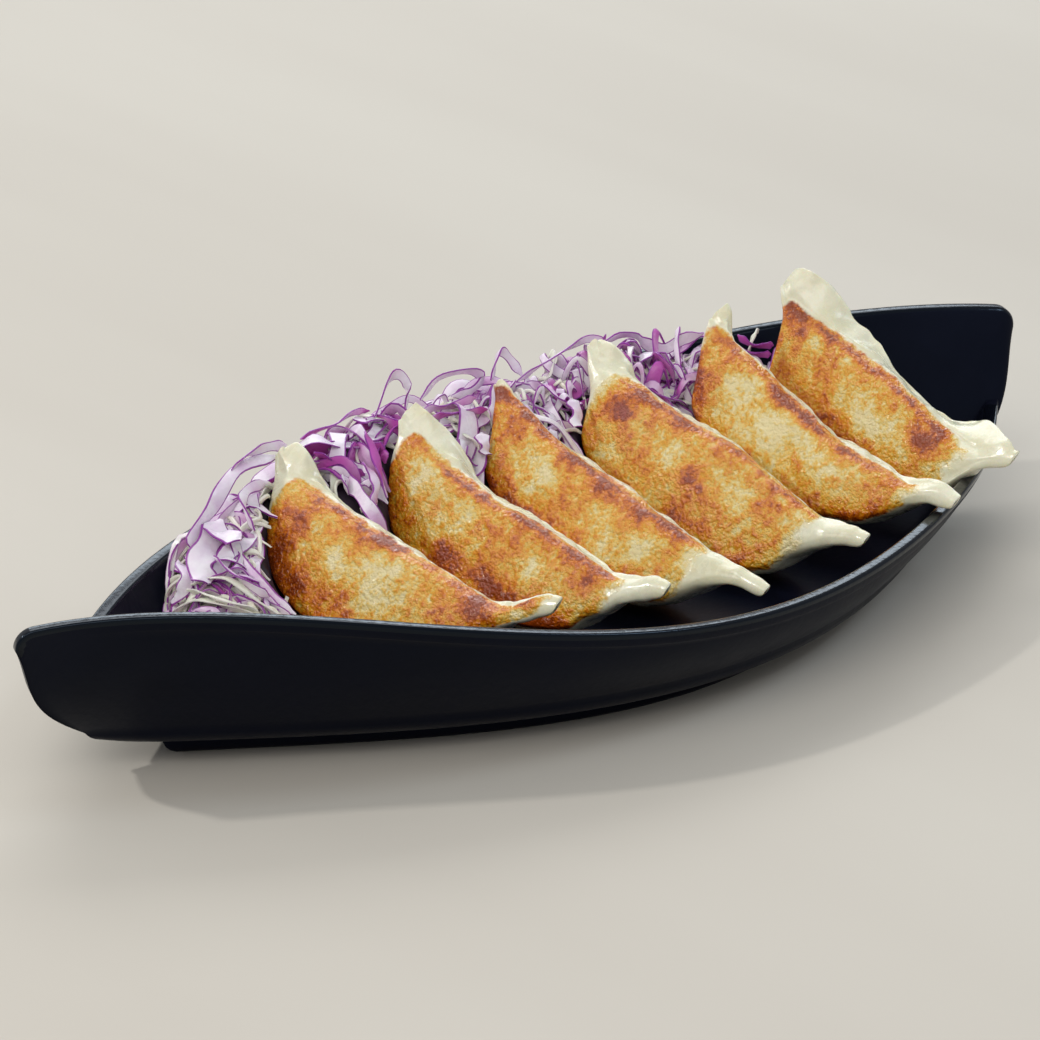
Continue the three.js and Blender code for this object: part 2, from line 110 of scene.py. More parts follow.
def smooth_path(points, count):
    """count points along a smooth curve through an open list of points."""
    points = np.asarray(points, float)
    padded = np.vstack([2 * points[0] - points[1], points, 2 * points[-1] - points[-2]])
    place = np.linspace(0, len(points) - 1, count)
    first = np.minimum(place.astype(int), len(points) - 2)
    return catmull_rom(*(padded[first + k] for k in range(4)), (place - first)[:, None])


def outline(pairs, at):
    """Height of a smooth outline through (along, height) pairs that never swings past them."""
    x, y = np.array(pairs, float).T
    step = np.diff(x)
    slope = np.diff(y) / step
    before, after = slope[:-1], slope[1:]
    same_way = before * after > 0
    blended = 2 * before * after / np.where(same_way, before + after, 1)
    tangent = np.concatenate([slope[:1], np.where(same_way, blended, 0), slope[-1:]])
    at = np.clip(at, x[0], x[-1])
    i = np.clip(np.searchsorted(x, at) - 1, 0, len(step) - 1)
    u = (at - x[i]) / step[i]
    rise = y[i] * (1 + 2 * u) * (1 - u) ** 2 + y[i + 1] * u * u * (3 - 2 * u)
    return rise + step[i] * u * (1 - u) * (tangent[i] * (1 - u) - tangent[i + 1] * u)


# ---------------------------------------------------------------- meshes


def make_mesh(name, vertices, faces, attributes=None):
    mesh = bpy.data.meshes.new(name)
    mesh.from_pydata((np.asarray(vertices) * MM).tolist(), [], faces)
    for attribute, values in (attributes or {}).items():
        layer = mesh.attributes.new(attribute, "FLOAT", "POINT")
        layer.data.foreach_set("value", np.asarray(values, np.float32))
    mesh.validate()
    mesh.update()
    piece = bpy.data.objects.new(name, mesh)
    bpy.context.collection.objects.link(piece)
    return piece


def shade(piece, sharp_angle=180):
    piece.data.shade_smooth()
    if sharp_angle < 180:
        piece.data.set_sharp_from_angle(angle=math.radians(sharp_angle))


def grid_faces(rings, size):
    """Quads of a tube of rings with size points each, closed around."""
    ring, side = np.meshgrid(np.arange(rings - 1), np.arange(size), indexing="ij")
    a = ring * size + side
    b = ring * size + (side + 1) % size
    return np.stack([a, b, b + size, a + size], axis=-1).reshape(-1, 4)


def tube(rings, cap="fan"):
    """Vertices and outward faces of a closed skin through rings (ring, point, axis)."""
    count, size = rings.shape[:2]
    vertices = rings.reshape(-1, 3)
    quads = grid_faces(count, size)
    faces = quads.tolist()
    last = (count - 1) * size
    if cap == "ladder":
        low, high = 0, size - 1
        while high - low > 1:
            faces.append([low + 1, low, high, high - 1] if high - low > 2 else [low + 1, low, high])
            faces.append([last + i for i in reversed(faces[-1])])
            low, high = low + 1, high - 1
    else:
        faces += [list(range(size))[::-1], [last + i for i in range(size)]]
    a, b, c, d = (vertices[quads[:, i]] - vertices.mean(0) for i in range(4))
    volume = np.sum(np.cross(b - a, d - a) * a) + np.sum(np.cross(c - b, d - c) * c)
    return vertices, faces if volume > 0 else [face[::-1] for face in faces]


# ---------------------------------------------------------------- materials


class Nodes:
    """A short way to write one material's nodes."""

    def __init__(self, name):
        self.material = bpy.data.materials.new(name)
        self.material.use_nodes = True
        self.tree = self.material.node_tree
        self.shader = self.tree.nodes["Principled BSDF"]
        self.place = self.node("ShaderNodeTexCoord").outputs["Object"]

    def node(self, kind, **settings):
        made = self.tree.nodes.new(kind)
        for key, value in settings.items():
            setattr(made, key, value)
        return made

    def plug(self, socket, value):
        if isinstance(value, bpy.types.NodeSocket):
            self.tree.links.new(value, socket)
        else:
            socket.default_value = value

    def attribute(self, name):
        return self.node("ShaderNodeAttribute", attribute_name=name).outputs["Fac"]

    def math(self, operation, a, b=0.0, c=0.0):
        made = self.node("ShaderNodeMath", operation=operation)
        for socket, value in zip(made.inputs, (a, b, c)):
            self.plug(socket, value)
        return made.outputs[0]

    def noise(self, size, detail=2.0, roughness=0.5, stretch=None):
        """Noise from 0 to 1 with bumps about size millimetres across."""
        place = self.place
        if stretch:
            scaled = self.node("ShaderNodeVectorMath", operation="MULTIPLY")
            self.plug(scaled.inputs[0], place)
            scaled.inputs[1].default_value = stretch
            place = scaled.outputs[0]
        made = self.node("ShaderNodeTexNoise")
        self.plug(made.inputs["Vector"], place)
        made.inputs["Scale"].default_value = 0.5 / (size * MM)
        made.inputs["Detail"].default_value = detail
        made.inputs["Roughness"].default_value = roughness
        return made.outputs["Fac"]

    def cells(self, size):
        """Distance from the middle of cells about size millimetres across."""
        made = self.node("ShaderNodeTexVoronoi", feature="F1")
        self.plug(made.inputs["Vector"], self.place)
        made.inputs["Scale"].default_value = 1 / (size * MM)
        return made.outputs["Distance"]

    def span(self, value, low, high, to_low=0.0, to_high=1.0):
        """Eases from to_low to to_high as value goes from low to high."""
        made = self.node("ShaderNodeMapRange", interpolation_type="SMOOTHSTEP")
        for socket, setting in zip(made.inputs, (value, low, high, to_low, to_high)):
            self.plug(socket, setting)
        return made.outputs[0]

    def ramp(self, value, stops):
        made = self.node("ShaderNodeValToRGB")
        elements = made.color_ramp.elements
        while len(elements) < len(stops):
            elements.new(0.5)
        for element, (position, colour) in zip(elements, stops):
            element.position = position
            element.color = (*colour, 1)
        self.plug(made.inputs[0], value)
        return made.outputs["Color"]

    def blend(self, share, a, b):
        made = self.node("ShaderNodeMix", data_type="RGBA")
        for index, value in ((0, share), (6, a), (7, b)):
            if isinstance(value, tuple):
                value = (*value, 1)
            self.plug(made.inputs[index], value)
        return made.outputs[2]

    def bump(self, height, distance, strength=1.0, below=None):
        """Relief of distance millimetres for a height of 1."""
        made = self.node("ShaderNodeBump")
        made.inputs["Distance"].default_value = distance * MM
        self.plug(made.inputs["Strength"], strength)
        self.plug(made.inputs["Height"], height)
        if below is not None:
            self.plug(made.inputs["Normal"], below)
        return made.outputs["Normal"]

    def set(self, **sockets):
        names = {name.lower().replace(" ", "_"): name for name in self.shader.inputs.keys()}
        for key, value in sockets.items():
            if isinstance(value, tuple) and len(value) == 3 and "radius" not in key:
                value = (*value, 1)
            self.plug(self.shader.inputs[names[key]], value)
        return self.material


def colour(red, green, blue):
    """A colour given as 0 to 255 on the screen, in Blender's linear values."""
    shares = (value / 255 for value in (red, green, blue))
    return tuple(((c + 0.055) / 1.055) ** 2.4 if c > 10 / 255 else c / 12.92 for c in shares)


# ---------------------------------------------------------------- dish

HALF_LENGTH = 145
FIN_TIP_OFFSET = 7.4
LOW_END = (131.5, -3.4)
LOW_END_REACH = (4.0, 3.4)
RIM_BELLY = (60.8, 4.0, -10.1, 16.6)  # polynomial terms of the rim's bow to the side along its run
RIM_HEIGHT = (25.5, -13.9, 22.3, 1.8, -19.3)  # and of its height
LOW_END_RISE = 5.6
FIN_CORNER_RADIUS = 3.6
WALL = 3.4
RIM_ROUNDING = 0.9
CHINE_HALF_LENGTH, CHINE_HALF_WIDTH, CHINE_HEIGHT, CHINE_TIP_OFFSET = 123, 56.5, 10, 1.8
CHINE_TAPER = 0.152
LOW_END_PULL = 3.8  # keeps the low end's foot inside the other wall's fin
STEM_BULGE, LOW_STEM_BULGE, SIDE_BULGE = 4.6, 1.0, 1.6
STEM_FULLNESS = 1.4  # above 1, the stem bulges most below the middle of its height
UNDERSIDE, UNDERSIDE_END_RISE = 4.2, 1
FLOOR = 7
FLOOR_FILLET, CHINE_FILLET = 4.4, 6
KEEL_OVERLAP = 3
FOOT_HALF_LENGTH, FOOT_HALF_WIDTH, FOOT_HEIGHT = 101, 44.9, 5.6
FOOT_RING, FOOT_TIP_RING, FOOT_RECESS = 7, 15.4, 2.4
FOOT_TOP_HALF_LENGTH = 105.5
FOOT_PROFILE = ((0, 5.2), (0.4, 3.6), (1.1, 2.1), (2.1, 1.0), (3.4, 0.3), (FOOT_HEIGHT, 0))
STEM_REACH = 0.12  # how far the shaping of a wall's two ends reaches, for a run from -1 to 1
STEM_ROUNDING = 1.0  # how far the hull's bottom rises under the fin's end
LENS_SKEW, LENS_FLATTEN = 0.06, -0.22
DISH_COLUMNS = 260
LENS_STEPS = 90
RIM_REACH = 1.98  # how far from the middle of the rim its brighter top reaches
LIP_HEIGHT = 3.3  # the smooth band below the rim
LIP_STEP = 0.28  # how far it stands proud of the wall below
LIP_EDGE = 0.22  # height of the step itself
OUTER_ROWS, INNER_ROWS, ROUND_ROWS = 18, 22, 6


def lens_side(t, half_width):
    return -half_width * (1 - t * t) * (1 + LENS_SKEW * t + LENS_FLATTEN * t * t)


def rim_point(t):
    """Outer edge of a wall's rim, from its fin tip at t = -1 to its low end at t = 1."""
    along = (1 + t) / 2
    rise = np.clip((t - 0.8) / 0.2, 0, 1) ** 2
    reach = np.clip((t - 0.9) / 0.1, 0, 1) ** 2
    x = -HALF_LENGTH * (1 - along) + LOW_END[0] * along + LOW_END_REACH[0] * reach
    belly = (1 - t * t) * polynomial(RIM_BELLY, t)
    y = -belly - FIN_TIP_OFFSET * (1 - along) + LOW_END[1] * along + LOW_END_REACH[1] * reach
    inset = FIN_CORNER_RADIUS - np.clip(x + HALF_LENGTH, 0, FIN_CORNER_RADIUS)
    corner = FIN_CORNER_RADIUS - np.sqrt(FIN_CORNER_RADIUS**2 - inset**2)
    return np.stack([x, y, polynomial(RIM_HEIGHT, t) + LOW_END_RISE * rise - corner], -1)


def ends(t):
    """How near the fin's end and the low end of a wall are, from 0 to 1."""
    return bump(t, -1, STEM_REACH), bump(t, 1, STEM_REACH)


def chine_point(t):
    """Where a wall turns into the hull's bottom."""
    rim = rim_point(t)
    taper = 1 - CHINE_TAPER * np.abs(rim[..., 0] / HALF_LENGTH) ** 5
    x = rim[..., 0] * taper - LOW_END_PULL * ends(t)[1]
    along = np.clip(x / CHINE_HALF_LENGTH, -1, 1)
    y = lens_side(along, CHINE_HALF_WIDTH) - CHINE_TIP_OFFSET * along
    return np.stack([x, y, np.full_like(x, CHINE_HEIGHT)], -1)


def outwards(t):
    """Level direction square to the rim."""
    step = 0.004
    run = rim_point(np.minimum(t + step, 0.9)) - rim_point(np.minimum(t, 0.9 - step) - step)
    return unit(np.stack([run[..., 1], -run[..., 0], np.zeros_like(run[..., 0])], -1))


def wall_point(t, v):
    """Outer face of a wall: v runs from 0 at the rim to 1 at the chine."""
    bow, stern = ends(t)
    bulge = np.sin(np.pi * v**0.9)
    straight = mix(rim_point(t), chine_point(t), np.expand_dims(v, -1))
    sideways = straight + outwards(t) * np.expand_dims(bulge * SIDE_BULGE * (1 - bow - stern), -1)
    along = LOW_STEM_BULGE * stern * bulge - STEM_BULGE * bow * np.sin(np.pi * v**STEM_FULLNESS)
    return sideways + np.stack([along, 0 * along, 0 * along], -1)


def quarter(start, corner, end, steps):
    """Points of a round stretch from start to end that leaves and arrives towards corner, ends left out."""
    shares = [(i + 1) / (steps + 1) for i in range(steps)]
    return [start * (1 - u) ** 2 + corner * 2 * u * (1 - u) + end * u * u for u in shares]


def hull_half(columns):
    """One wall with its half of the hull's bottom, as rings from the rim to the keel and back up inside."""
    t = -np.cos(np.pi * np.arange(columns + 1) / columns)
    out = outwards(t)
    rim = rim_point(t)
    chine = chine_point(t)
    keel_x = chine[:, 0] * (FOOT_HALF_LENGTH / CHINE_HALF_LENGTH)
    foot_y = lens_side(np.clip(keel_x / FOOT_HALF_LENGTH, -1, 1), FOOT_HALF_WIDTH)
    bottom = UNDERSIDE + UNDERSIDE_END_RISE * np.abs(keel_x / FOOT_HALF_LENGTH) ** 8
    keel = np.stack([keel_x, np.full_like(keel_x, KEEL_OVERLAP), bottom], -1)
    inwards = unit((keel - chine) * (1, 1, 0))
    height = rim[:, 2] - CHINE_HEIGHT

    def face(depth, offset):
        """Points on the wall depth below the rim, moved out by offset."""
        return wall_point(t, depth / height) + out * np.expand_dims(offset, -1)

    def at_height(points, z):
        return np.concatenate([points[:, :2], np.broadcast_to(z, len(points))[:, None]], 1)

    def rim_edge(offset, side):
        """Rings round the rim's outer edge, with side 1, or its inner edge, with side -1."""
        angles = [turn * math.pi / 2 for turn in (0, 0.15, 0.35, 0.55, 0.78, 1)]
        sizes = [(1 - math.cos(angle), math.sin(angle) - 1) for angle in angles]
        return [face(RIM_ROUNDING * drop, offset + side * RIM_ROUNDING * move) for drop, move in sizes]

    sunk = -LIP_STEP * smoothstep(t, -0.96, -0.6) * smoothstep(-t, -0.985, -0.9)
    outer = rim_edge(0, 1)
    outer += [face(LIP_HEIGHT * share, 0) for share in (0.45, 0.7, 0.92)]
    outer += [face(LIP_HEIGHT, sunk * 0.3), face(LIP_HEIGHT + LIP_EDGE, sunk)]
    for row in range(1, OUTER_ROWS + 1):
        share = row / OUTER_ROWS
        outer.append(face(mix(LIP_HEIGHT + LIP_EDGE, height, share), sunk * (1 - share)))
    bow, stern = ends(t)
    tip_rise = STEM_ROUNDING * (bow + 1.3 * stern)
    chine_round = at_height(chine + inwards * CHINE_FILLET, bottom + 0.6 + tip_rise)
    corner = at_height(chine + inwards * CHINE_FILLET * 0.16, (chine[:, 2] + 2 * bottom) / 3 + 1.2 * tip_rise)
    outer += quarter(outer[-1], corner, chine_round, ROUND_ROWS) + [chine_round]
    foot_edge = np.stack([keel_x, foot_y, bottom], -1)
    for start, end in ((chine_round, foot_edge), (foot_edge, keel)):
        outer += [mix(start, end, share) for share in (0.33, 0.66, 1)]

    floor = FLOOR + 1.8 * tip_rise
    fillet = FLOOR_FILLET * (1 - 0.6 * bow - 0.6 * stern)
    deepest = rim[:, 2] - floor - fillet
    inner = rim_edge(-WALL, -1)
    inner += [face(mix(RIM_ROUNDING, deepest, row / INNER_ROWS), -WALL) for row in range(1, INNER_ROWS + 1)]
    foot_in = at_height(inner[-1] + inwards * fillet[:, None] * 1.2, floor)
    inner += quarter(inner[-1], at_height(inner[-1], floor), foot_in, ROUND_ROWS) + [foot_in]
    floor_rows = len(outer) - len(inner) - 1
    inner += [mix(foot_in, at_height(keel, floor), row / floor_rows) for row in range(floor_rows + 1)]
    rings = np.stack(outer + inner[::-1], axis=1)
    return tube(rings, cap="ladder")


def lens_prism(half_length, half_width, levels):
    """A flat lens-shaped block through (height, inset from its outline) levels."""
    t = -np.cos(np.pi * np.arange(LENS_STEPS) / LENS_STEPS)
    rings = []
    for z, inset in levels:
        side = np.stack([t * (half_length - inset), lens_side(t, half_width - 0.3 * inset)], -1)
        rings.append(np.column_stack([np.vstack([side, -side]), np.full(2 * LENS_STEPS, z)]))
    return tube(np.array(rings))


def build_dish():
    vertices, faces = hull_half(DISH_COLUMNS)
    near = make_mesh("near_half", vertices, faces)
    far = make_mesh("far_half", vertices * (-1, -1, 1), faces)
    foot = make_mesh("foot_block", *lens_prism(FOOT_TOP_HALF_LENGTH, FOOT_HALF_WIDTH + 1.2, FOOT_PROFILE))
    recess_size = (FOOT_HALF_LENGTH - FOOT_TIP_RING, FOOT_HALF_WIDTH - FOOT_RING)
    recess = make_mesh("recess_block", *lens_prism(*recess_size, ((-1, 0), (FOOT_RECESS, 0))))
    for other, operation in ((far, "UNION"), (foot, "UNION"), (recess, "DIFFERENCE")):
        cut = near.modifiers.new(other.name, "BOOLEAN")
        cut.object = other
        cut.operation = operation
        cut.solver = "MANIFOLD"
    whole = bpy.data.meshes.new_from_object(near.evaluated_get(bpy.context.evaluated_depsgraph_get()))
    for block in (near, far, foot, recess):
        bpy.data.objects.remove(block)
    whole.name = "boat_dish"
    dish = bpy.data.objects.new("boat_dish", whole)
    bpy.context.collection.objects.link(dish)
    shade(dish, 38)
    whole.materials.clear()
    mark_rim(whole)
    return dish


def mark_rim(mesh):
    """Gives the faces of the two rims' rounded tops the second material."""
    t = np.linspace(-1, 0.975, 900)
    line = rim_point(t) - outwards(t) * WALL / 2
    line = np.vstack([line, line * (-1, -1, 1)]) * MM
    tree = KDTree(len(line))
    for i, point in enumerate(line):
        tree.insert(point, i)
    tree.balance()
    for face in mesh.polygons:
        face.material_index = int(tree.find(face.center)[2] < RIM_REACH * MM)


def melamine(name, dark, light, gloss, roughness_span):
    """Black moulded melamine: satin gloss, cloudy with wear, with faint upright marks on the walls."""
    n = Nodes(name)
    cloud = n.noise(14, detail=3)
    fine = n.noise(0.5, detail=2)
    streaks = n.noise(0.8, detail=1.5, stretch=(1, 1, 0.09))
    roughness = n.span(cloud, 0.3, 0.75, *roughness_span)
    return n.set(
        base_color=n.blend(cloud, dark, light),
        roughness=n.math("ADD", roughness, n.math("MULTIPLY", fine, 0.08)),
        normal=n.bump(fine, 0.015, below=n.bump(streaks, 0.05)),
        specular_ior_level=gloss,
        specular_tint=(0.6, 0.78, 1.0),
    )


# ---------------------------------------------------------------- dumplings

# Each dumpling runs from its far tip, up on the cabbage, to its near tail. roll tips its browned face back
# from upright, in degrees, and depth is its thickness behind that face. The outlines are (along, up the
# face) in millimetres from the far tip: top is the browned face's upper edge, low its lower edge, and crest
# the line that the bare skin behind it reaches, as seen square to the face. The browning starts at tip, and
# bare is the length of the pale tail beyond it. toast lists patches (along, up, half length, half height,
# strength) that are browner than the rest, or paler where the strength is below zero.
DUMPLINGS = [
    dict(
        far=(-44, 35.4, 42.9), near=(-36.2, -43.3, 30), roll=39.4, depth=16.4, tip=3, bare=3,
        crest=[(-3, -2), (0, 1.5), (4, 0.5), (10, -2), (20, -4.5), (30, -5), (45, -5.6), (60, -6.2), (67, -6),
            (70, -5), (72, -3.6), (76, 0), (78.5, 1.6), (80.5, 1.8)],
        top=[(-3, -3), (0, -6), (5, -5.8), (10, -6), (20, -6.5), (40, -7), (60, -7), (69, -6.6), (72, -4.4),
            (76, -0.6), (78.5, 1), (80.5, 1.2)],
        low=[(-3, -3.5), (0, -8), (3, -14), (6, -19), (10, -23.5), (15, -27), (25, -29.8), (35, -30.5),
            (45, -30), (55, -26), (63, -17), (70, -10), (74, -7.2), (77, -4.6), (80.5, -3)],
        toast=[(14, -16, 9, 8, 0.5), (36, -9, 5, 4, 0.3), (42, -15, 13, 6, -0.55), (18, -25, 10, 3, 0.5),
            (66, -9.5, 6, 2.5, 0.45), (74, -3, 3, 3, 0.6), (22, -10, 8, 3, -0.1)],
    ),
    dict(
        far=(-12.5, 33.8, 45.2), near=(-7.5, -45.5, 26.3), roll=34.1, depth=16, tip=3, bare=11,
        crest=[(-1, -3), (0, 1), (10, 0), (15, -1.5), (20, -3), (25, -5.5), (32, -6.3), (40, -5), (50, -4.7),
            (60, -4.5), (67, -4.5), (70, -4), (75, -1.5), (79, 1.1), (81.5, 1.2)],
        top=[(-1, -4), (3, -5), (10, -6), (20, -7), (30, -7), (40, -5.7), (60, -5.2), (67, -5), (72, -3.4),
            (78, 0.2), (81.5, 0.6)],
        low=[(-1, -5), (1, -8), (3, -13), (6, -18), (9, -22), (13, -25), (20, -26.5), (35, -27), (50, -26),
            (60, -22.5), (65.5, -19), (67, -16), (70, -13), (73, -8.8), (76, -6), (79, -4), (81.5, -3)],
        toast=[(5, -13, 4, 7, 0.3), (14, -12, 3, 4, -0.5), (23, -13, 7, 5, -0.4), (45, -22, 20, 3.2, 0.85),
            (34, -11, 5, 3, 0.2), (53, -13, 9, 4, -0.35), (66, -10, 6, 6, 0.4), (2.5, -2.5, 1.6, 1.8, 1.2)],
    ),
    dict(
        far=(12.3, 34.2, 45.7), near=(18, -47.9, 21.7), roll=39.5, depth=16.4, tip=-1, bare=17,
        crest=[(0, -0.5), (1.5, 0.3), (3, 0), (5, -1), (10, -1.5), (20, -2.8), (30, -2.8), (38, -2),
            (45, -1.7), (52, -2.2), (60, -1.8), (70, -1.8), (80, -0.2), (84, 0.1), (87, 0)],
        top=[(0, -1.5), (5, -1.6), (10, -2.1), (20, -3.4), (30, -3.4), (45, -3), (60, -2.6), (68, -2.6),
            (75, -1.8), (81, -0.6), (87, -0.4)],
        low=[(0, -2.5), (2, -4), (4, -7), (7, -11), (10, -16), (13, -19.5), (20, -22), (30, -23.5), (45, -24),
            (58, -21.5), (67, -17), (70, -13), (73, -9), (76, -6.5), (79, -5), (83, -4), (87, -3.6)],
        toast=[(2, -2.5, 3, 2, 1), (14, -7, 5, 4, 0.35), (25, -9, 4, 3.5, -0.6), (43, -11, 7, 3, -0.5),
            (45, -5.5, 14, 2, 0.5), (34, -15, 6, 4, 0.3), (28, -20, 18, 2.5, 0.8), (64, -9, 7, 6, -0.15),
            (53, -14, 6, 3, -0.3)],
    ),
    dict(
        far=(42.2, 35.1, 47), near=(48.4, -48.1, 23.2), roll=37.2, depth=16.8, tip=7, bare=13,
        crest=[(-2, -1), (0, 1), (5, 1.5), (10, 0.5), (13, -1.5), (20, -2), (30, -1.8), (40, -0.6),
            (45, -0.3), (52, -0.8), (60, -1.5), (68, -2), (75, -2), (80, 0), (83.5, 1.1), (85.5, 1.2)],
        top=[(-2, -2), (3, -3.5), (8, -3.6), (15, -3), (30, -2.8), (45, -1.2), (60, -2.2), (75, -2.4),
            (80, -0.6), (83, 0.6), (85.5, 0.8)],
        low=[(-2, -2.6), (1, -6), (5, -10), (8, -15), (11, -20), (15, -22.5), (25, -24.5), (40, -25),
            (52, -24.6), (60, -23.2), (65, -21), (70, -17), (72, -13), (75, -9), (79, -5.4), (82, -3.8),
            (85.5, -3)],
        toast=[(5, -9, 6, 6, -0.6), (16, -10, 5, 3.5, 0.5), (25, -16, 4, 3, 0.45), (43, -13.5, 7, 3.5, 0.7),
            (48, -20, 7, 2.5, 0.6), (34, -9, 7, 5, -0.55), (54, -11, 6, 4, -0.6), (64, -9, 5, 3, 0.25),
            (65, -18, 6, 3, 0.4), (73, -8, 4, 4, -0.4), (18, -20, 6, 3, -0.2)],
    ),
    dict(
        far=(72.3, 26.6, 51.1), near=(73.5, -49.6, 27.1), roll=34.6, depth=16.4, tip=0.5, bare=10,
        crest=[(-1, -3), (0, 1), (2, 0.2), (5, -3.5), (7, -4.8), (12, -5), (20, -5.3), (25, -6), (32, -6),
            (40, -6.8), (46, -6.9), (50, -6), (56, -5.3), (60, -4.9), (66, -4.6), (70, -2.2), (75, 0.3),
            (79.5, 0.7)],
        top=[(-1, -4), (3, -5), (10, -5.8), (20, -6.3), (30, -7.2), (45, -7.7), (55, -6.8), (60, -5.8),
            (66, -5), (71, -2.2), (75, -0.2), (79.5, 0.1)],
        low=[(-1, -5), (0, -8), (3, -13), (6, -18), (9, -22.5), (13, -24.5), (22, -25.8), (38, -25.8),
            (50, -24), (56, -21), (62, -18), (66, -13.5), (70, -8), (74, -5), (79.5, -3.6)],
        toast=[(7, -13, 4, 8, 0.3), (22, -12, 8, 6, -0.25), (32, -16, 6, 4, -0.6), (37, -11.5, 6, 2.5, -0.7),
            (54, -11, 6, 4, -0.2), (62.5, -11.5, 4.5, 4, 0.8), (50, -20.5, 12, 3, 0.5),
            (30, -8, 10, 1.2, 0.5), (1, -4, 2, 2, 0.4)],
    ),
    dict(
        far=(93.8, 26.3, 54.4), near=(96.5, -44.9, 30), roll=30.6, depth=15, tip=1.5, bare=12,
        crest=[(-1, 0.4), (1, 2), (4, 2.6), (8, 2.5), (13, 1.7), (17, 0.8), (20, -0.5), (26, -0.8),
            (30, -1.2), (35, -3), (42, -4.6), (50, -4.8), (58, -3.8), (62, -1), (65, 1), (70, 1.3),
            (74.5, 1)],
        top=[(-1, -4), (3, -6), (10, -6.5), (20, -5.5), (40, -5.5), (60, -7), (65, -6), (70, -2.5),
            (74.5, -0.4)],
        low=[(-1, -5), (2, -8), (4, -10), (6, -14), (8, -18), (10, -22), (16, -23.5), (30, -24), (48, -23),
            (60, -19), (64, -17), (66, -13), (68, -9), (71, -6), (74.5, -4)],
        toast=[(9, -14, 5, 6, 0.3), (12, -10, 2.5, 1.5, 0.5), (16, -13.5, 4, 2, 0.4), (37, -15, 9, 4, -0.5),
            (52.5, -11, 5, 3.5, 0.85), (32, -20, 18, 2.6, 0.45), (64, -12, 4, 5, 0.25),
            (35, -7.5, 14, 1.5, -0.3)],
    ),
]
STATION_STEP = 0.5  # length of one mesh cell along a dumpling
BACK_SLANT = 0.72  # how far along a dumpling its crest shows, for each millimetre behind the face
PLEATS = 7
FACE_CELLS = 64  # mesh cells up the browned face, from its lower to its upper edge
SECTION = (FACE_CELLS // 2, FACE_CELLS // 2, 3, 5, 7, 8, 4, 4, 8, 12, 12, 10, 5, 3)  # cells of each stretch
UPPER_FADE = (1, 0.9, 0.75, 0.6, 0.45, 0.3, 0.2, 0.1)  # the browning beyond the face's upper edge
LOWER_FADE = (0.15, 0.3, 0.5, 0.7, 0.9, 1)  # and round its lower edge


def arch(s, start, end, power):
    """Rises from 0 at 0 to 1 at start, then falls to 0 at end, the more squarely the larger the power."""
    rising = 1 - (1 - np.clip(s, 0, start) / start) ** power
    falling = 1 - np.clip((s - start) / (end - start), 0, 1) ** power
    return np.where(s < start, rising, falling)


def dumpling_axes(shape):
    """Along the dumpling to its tail, up its browned face, and in from that face."""
    run = np.subtract(shape["near"], shape["far"])
    along = unit(run)
    roll = math.radians(shape["roll"])
    lean = np.array([math.sin(roll), 0, math.cos(roll)])
    across = unit(lean - along * np.dot(lean, along))
    return along, across, np.cross(across, along), np.linalg.norm(run)


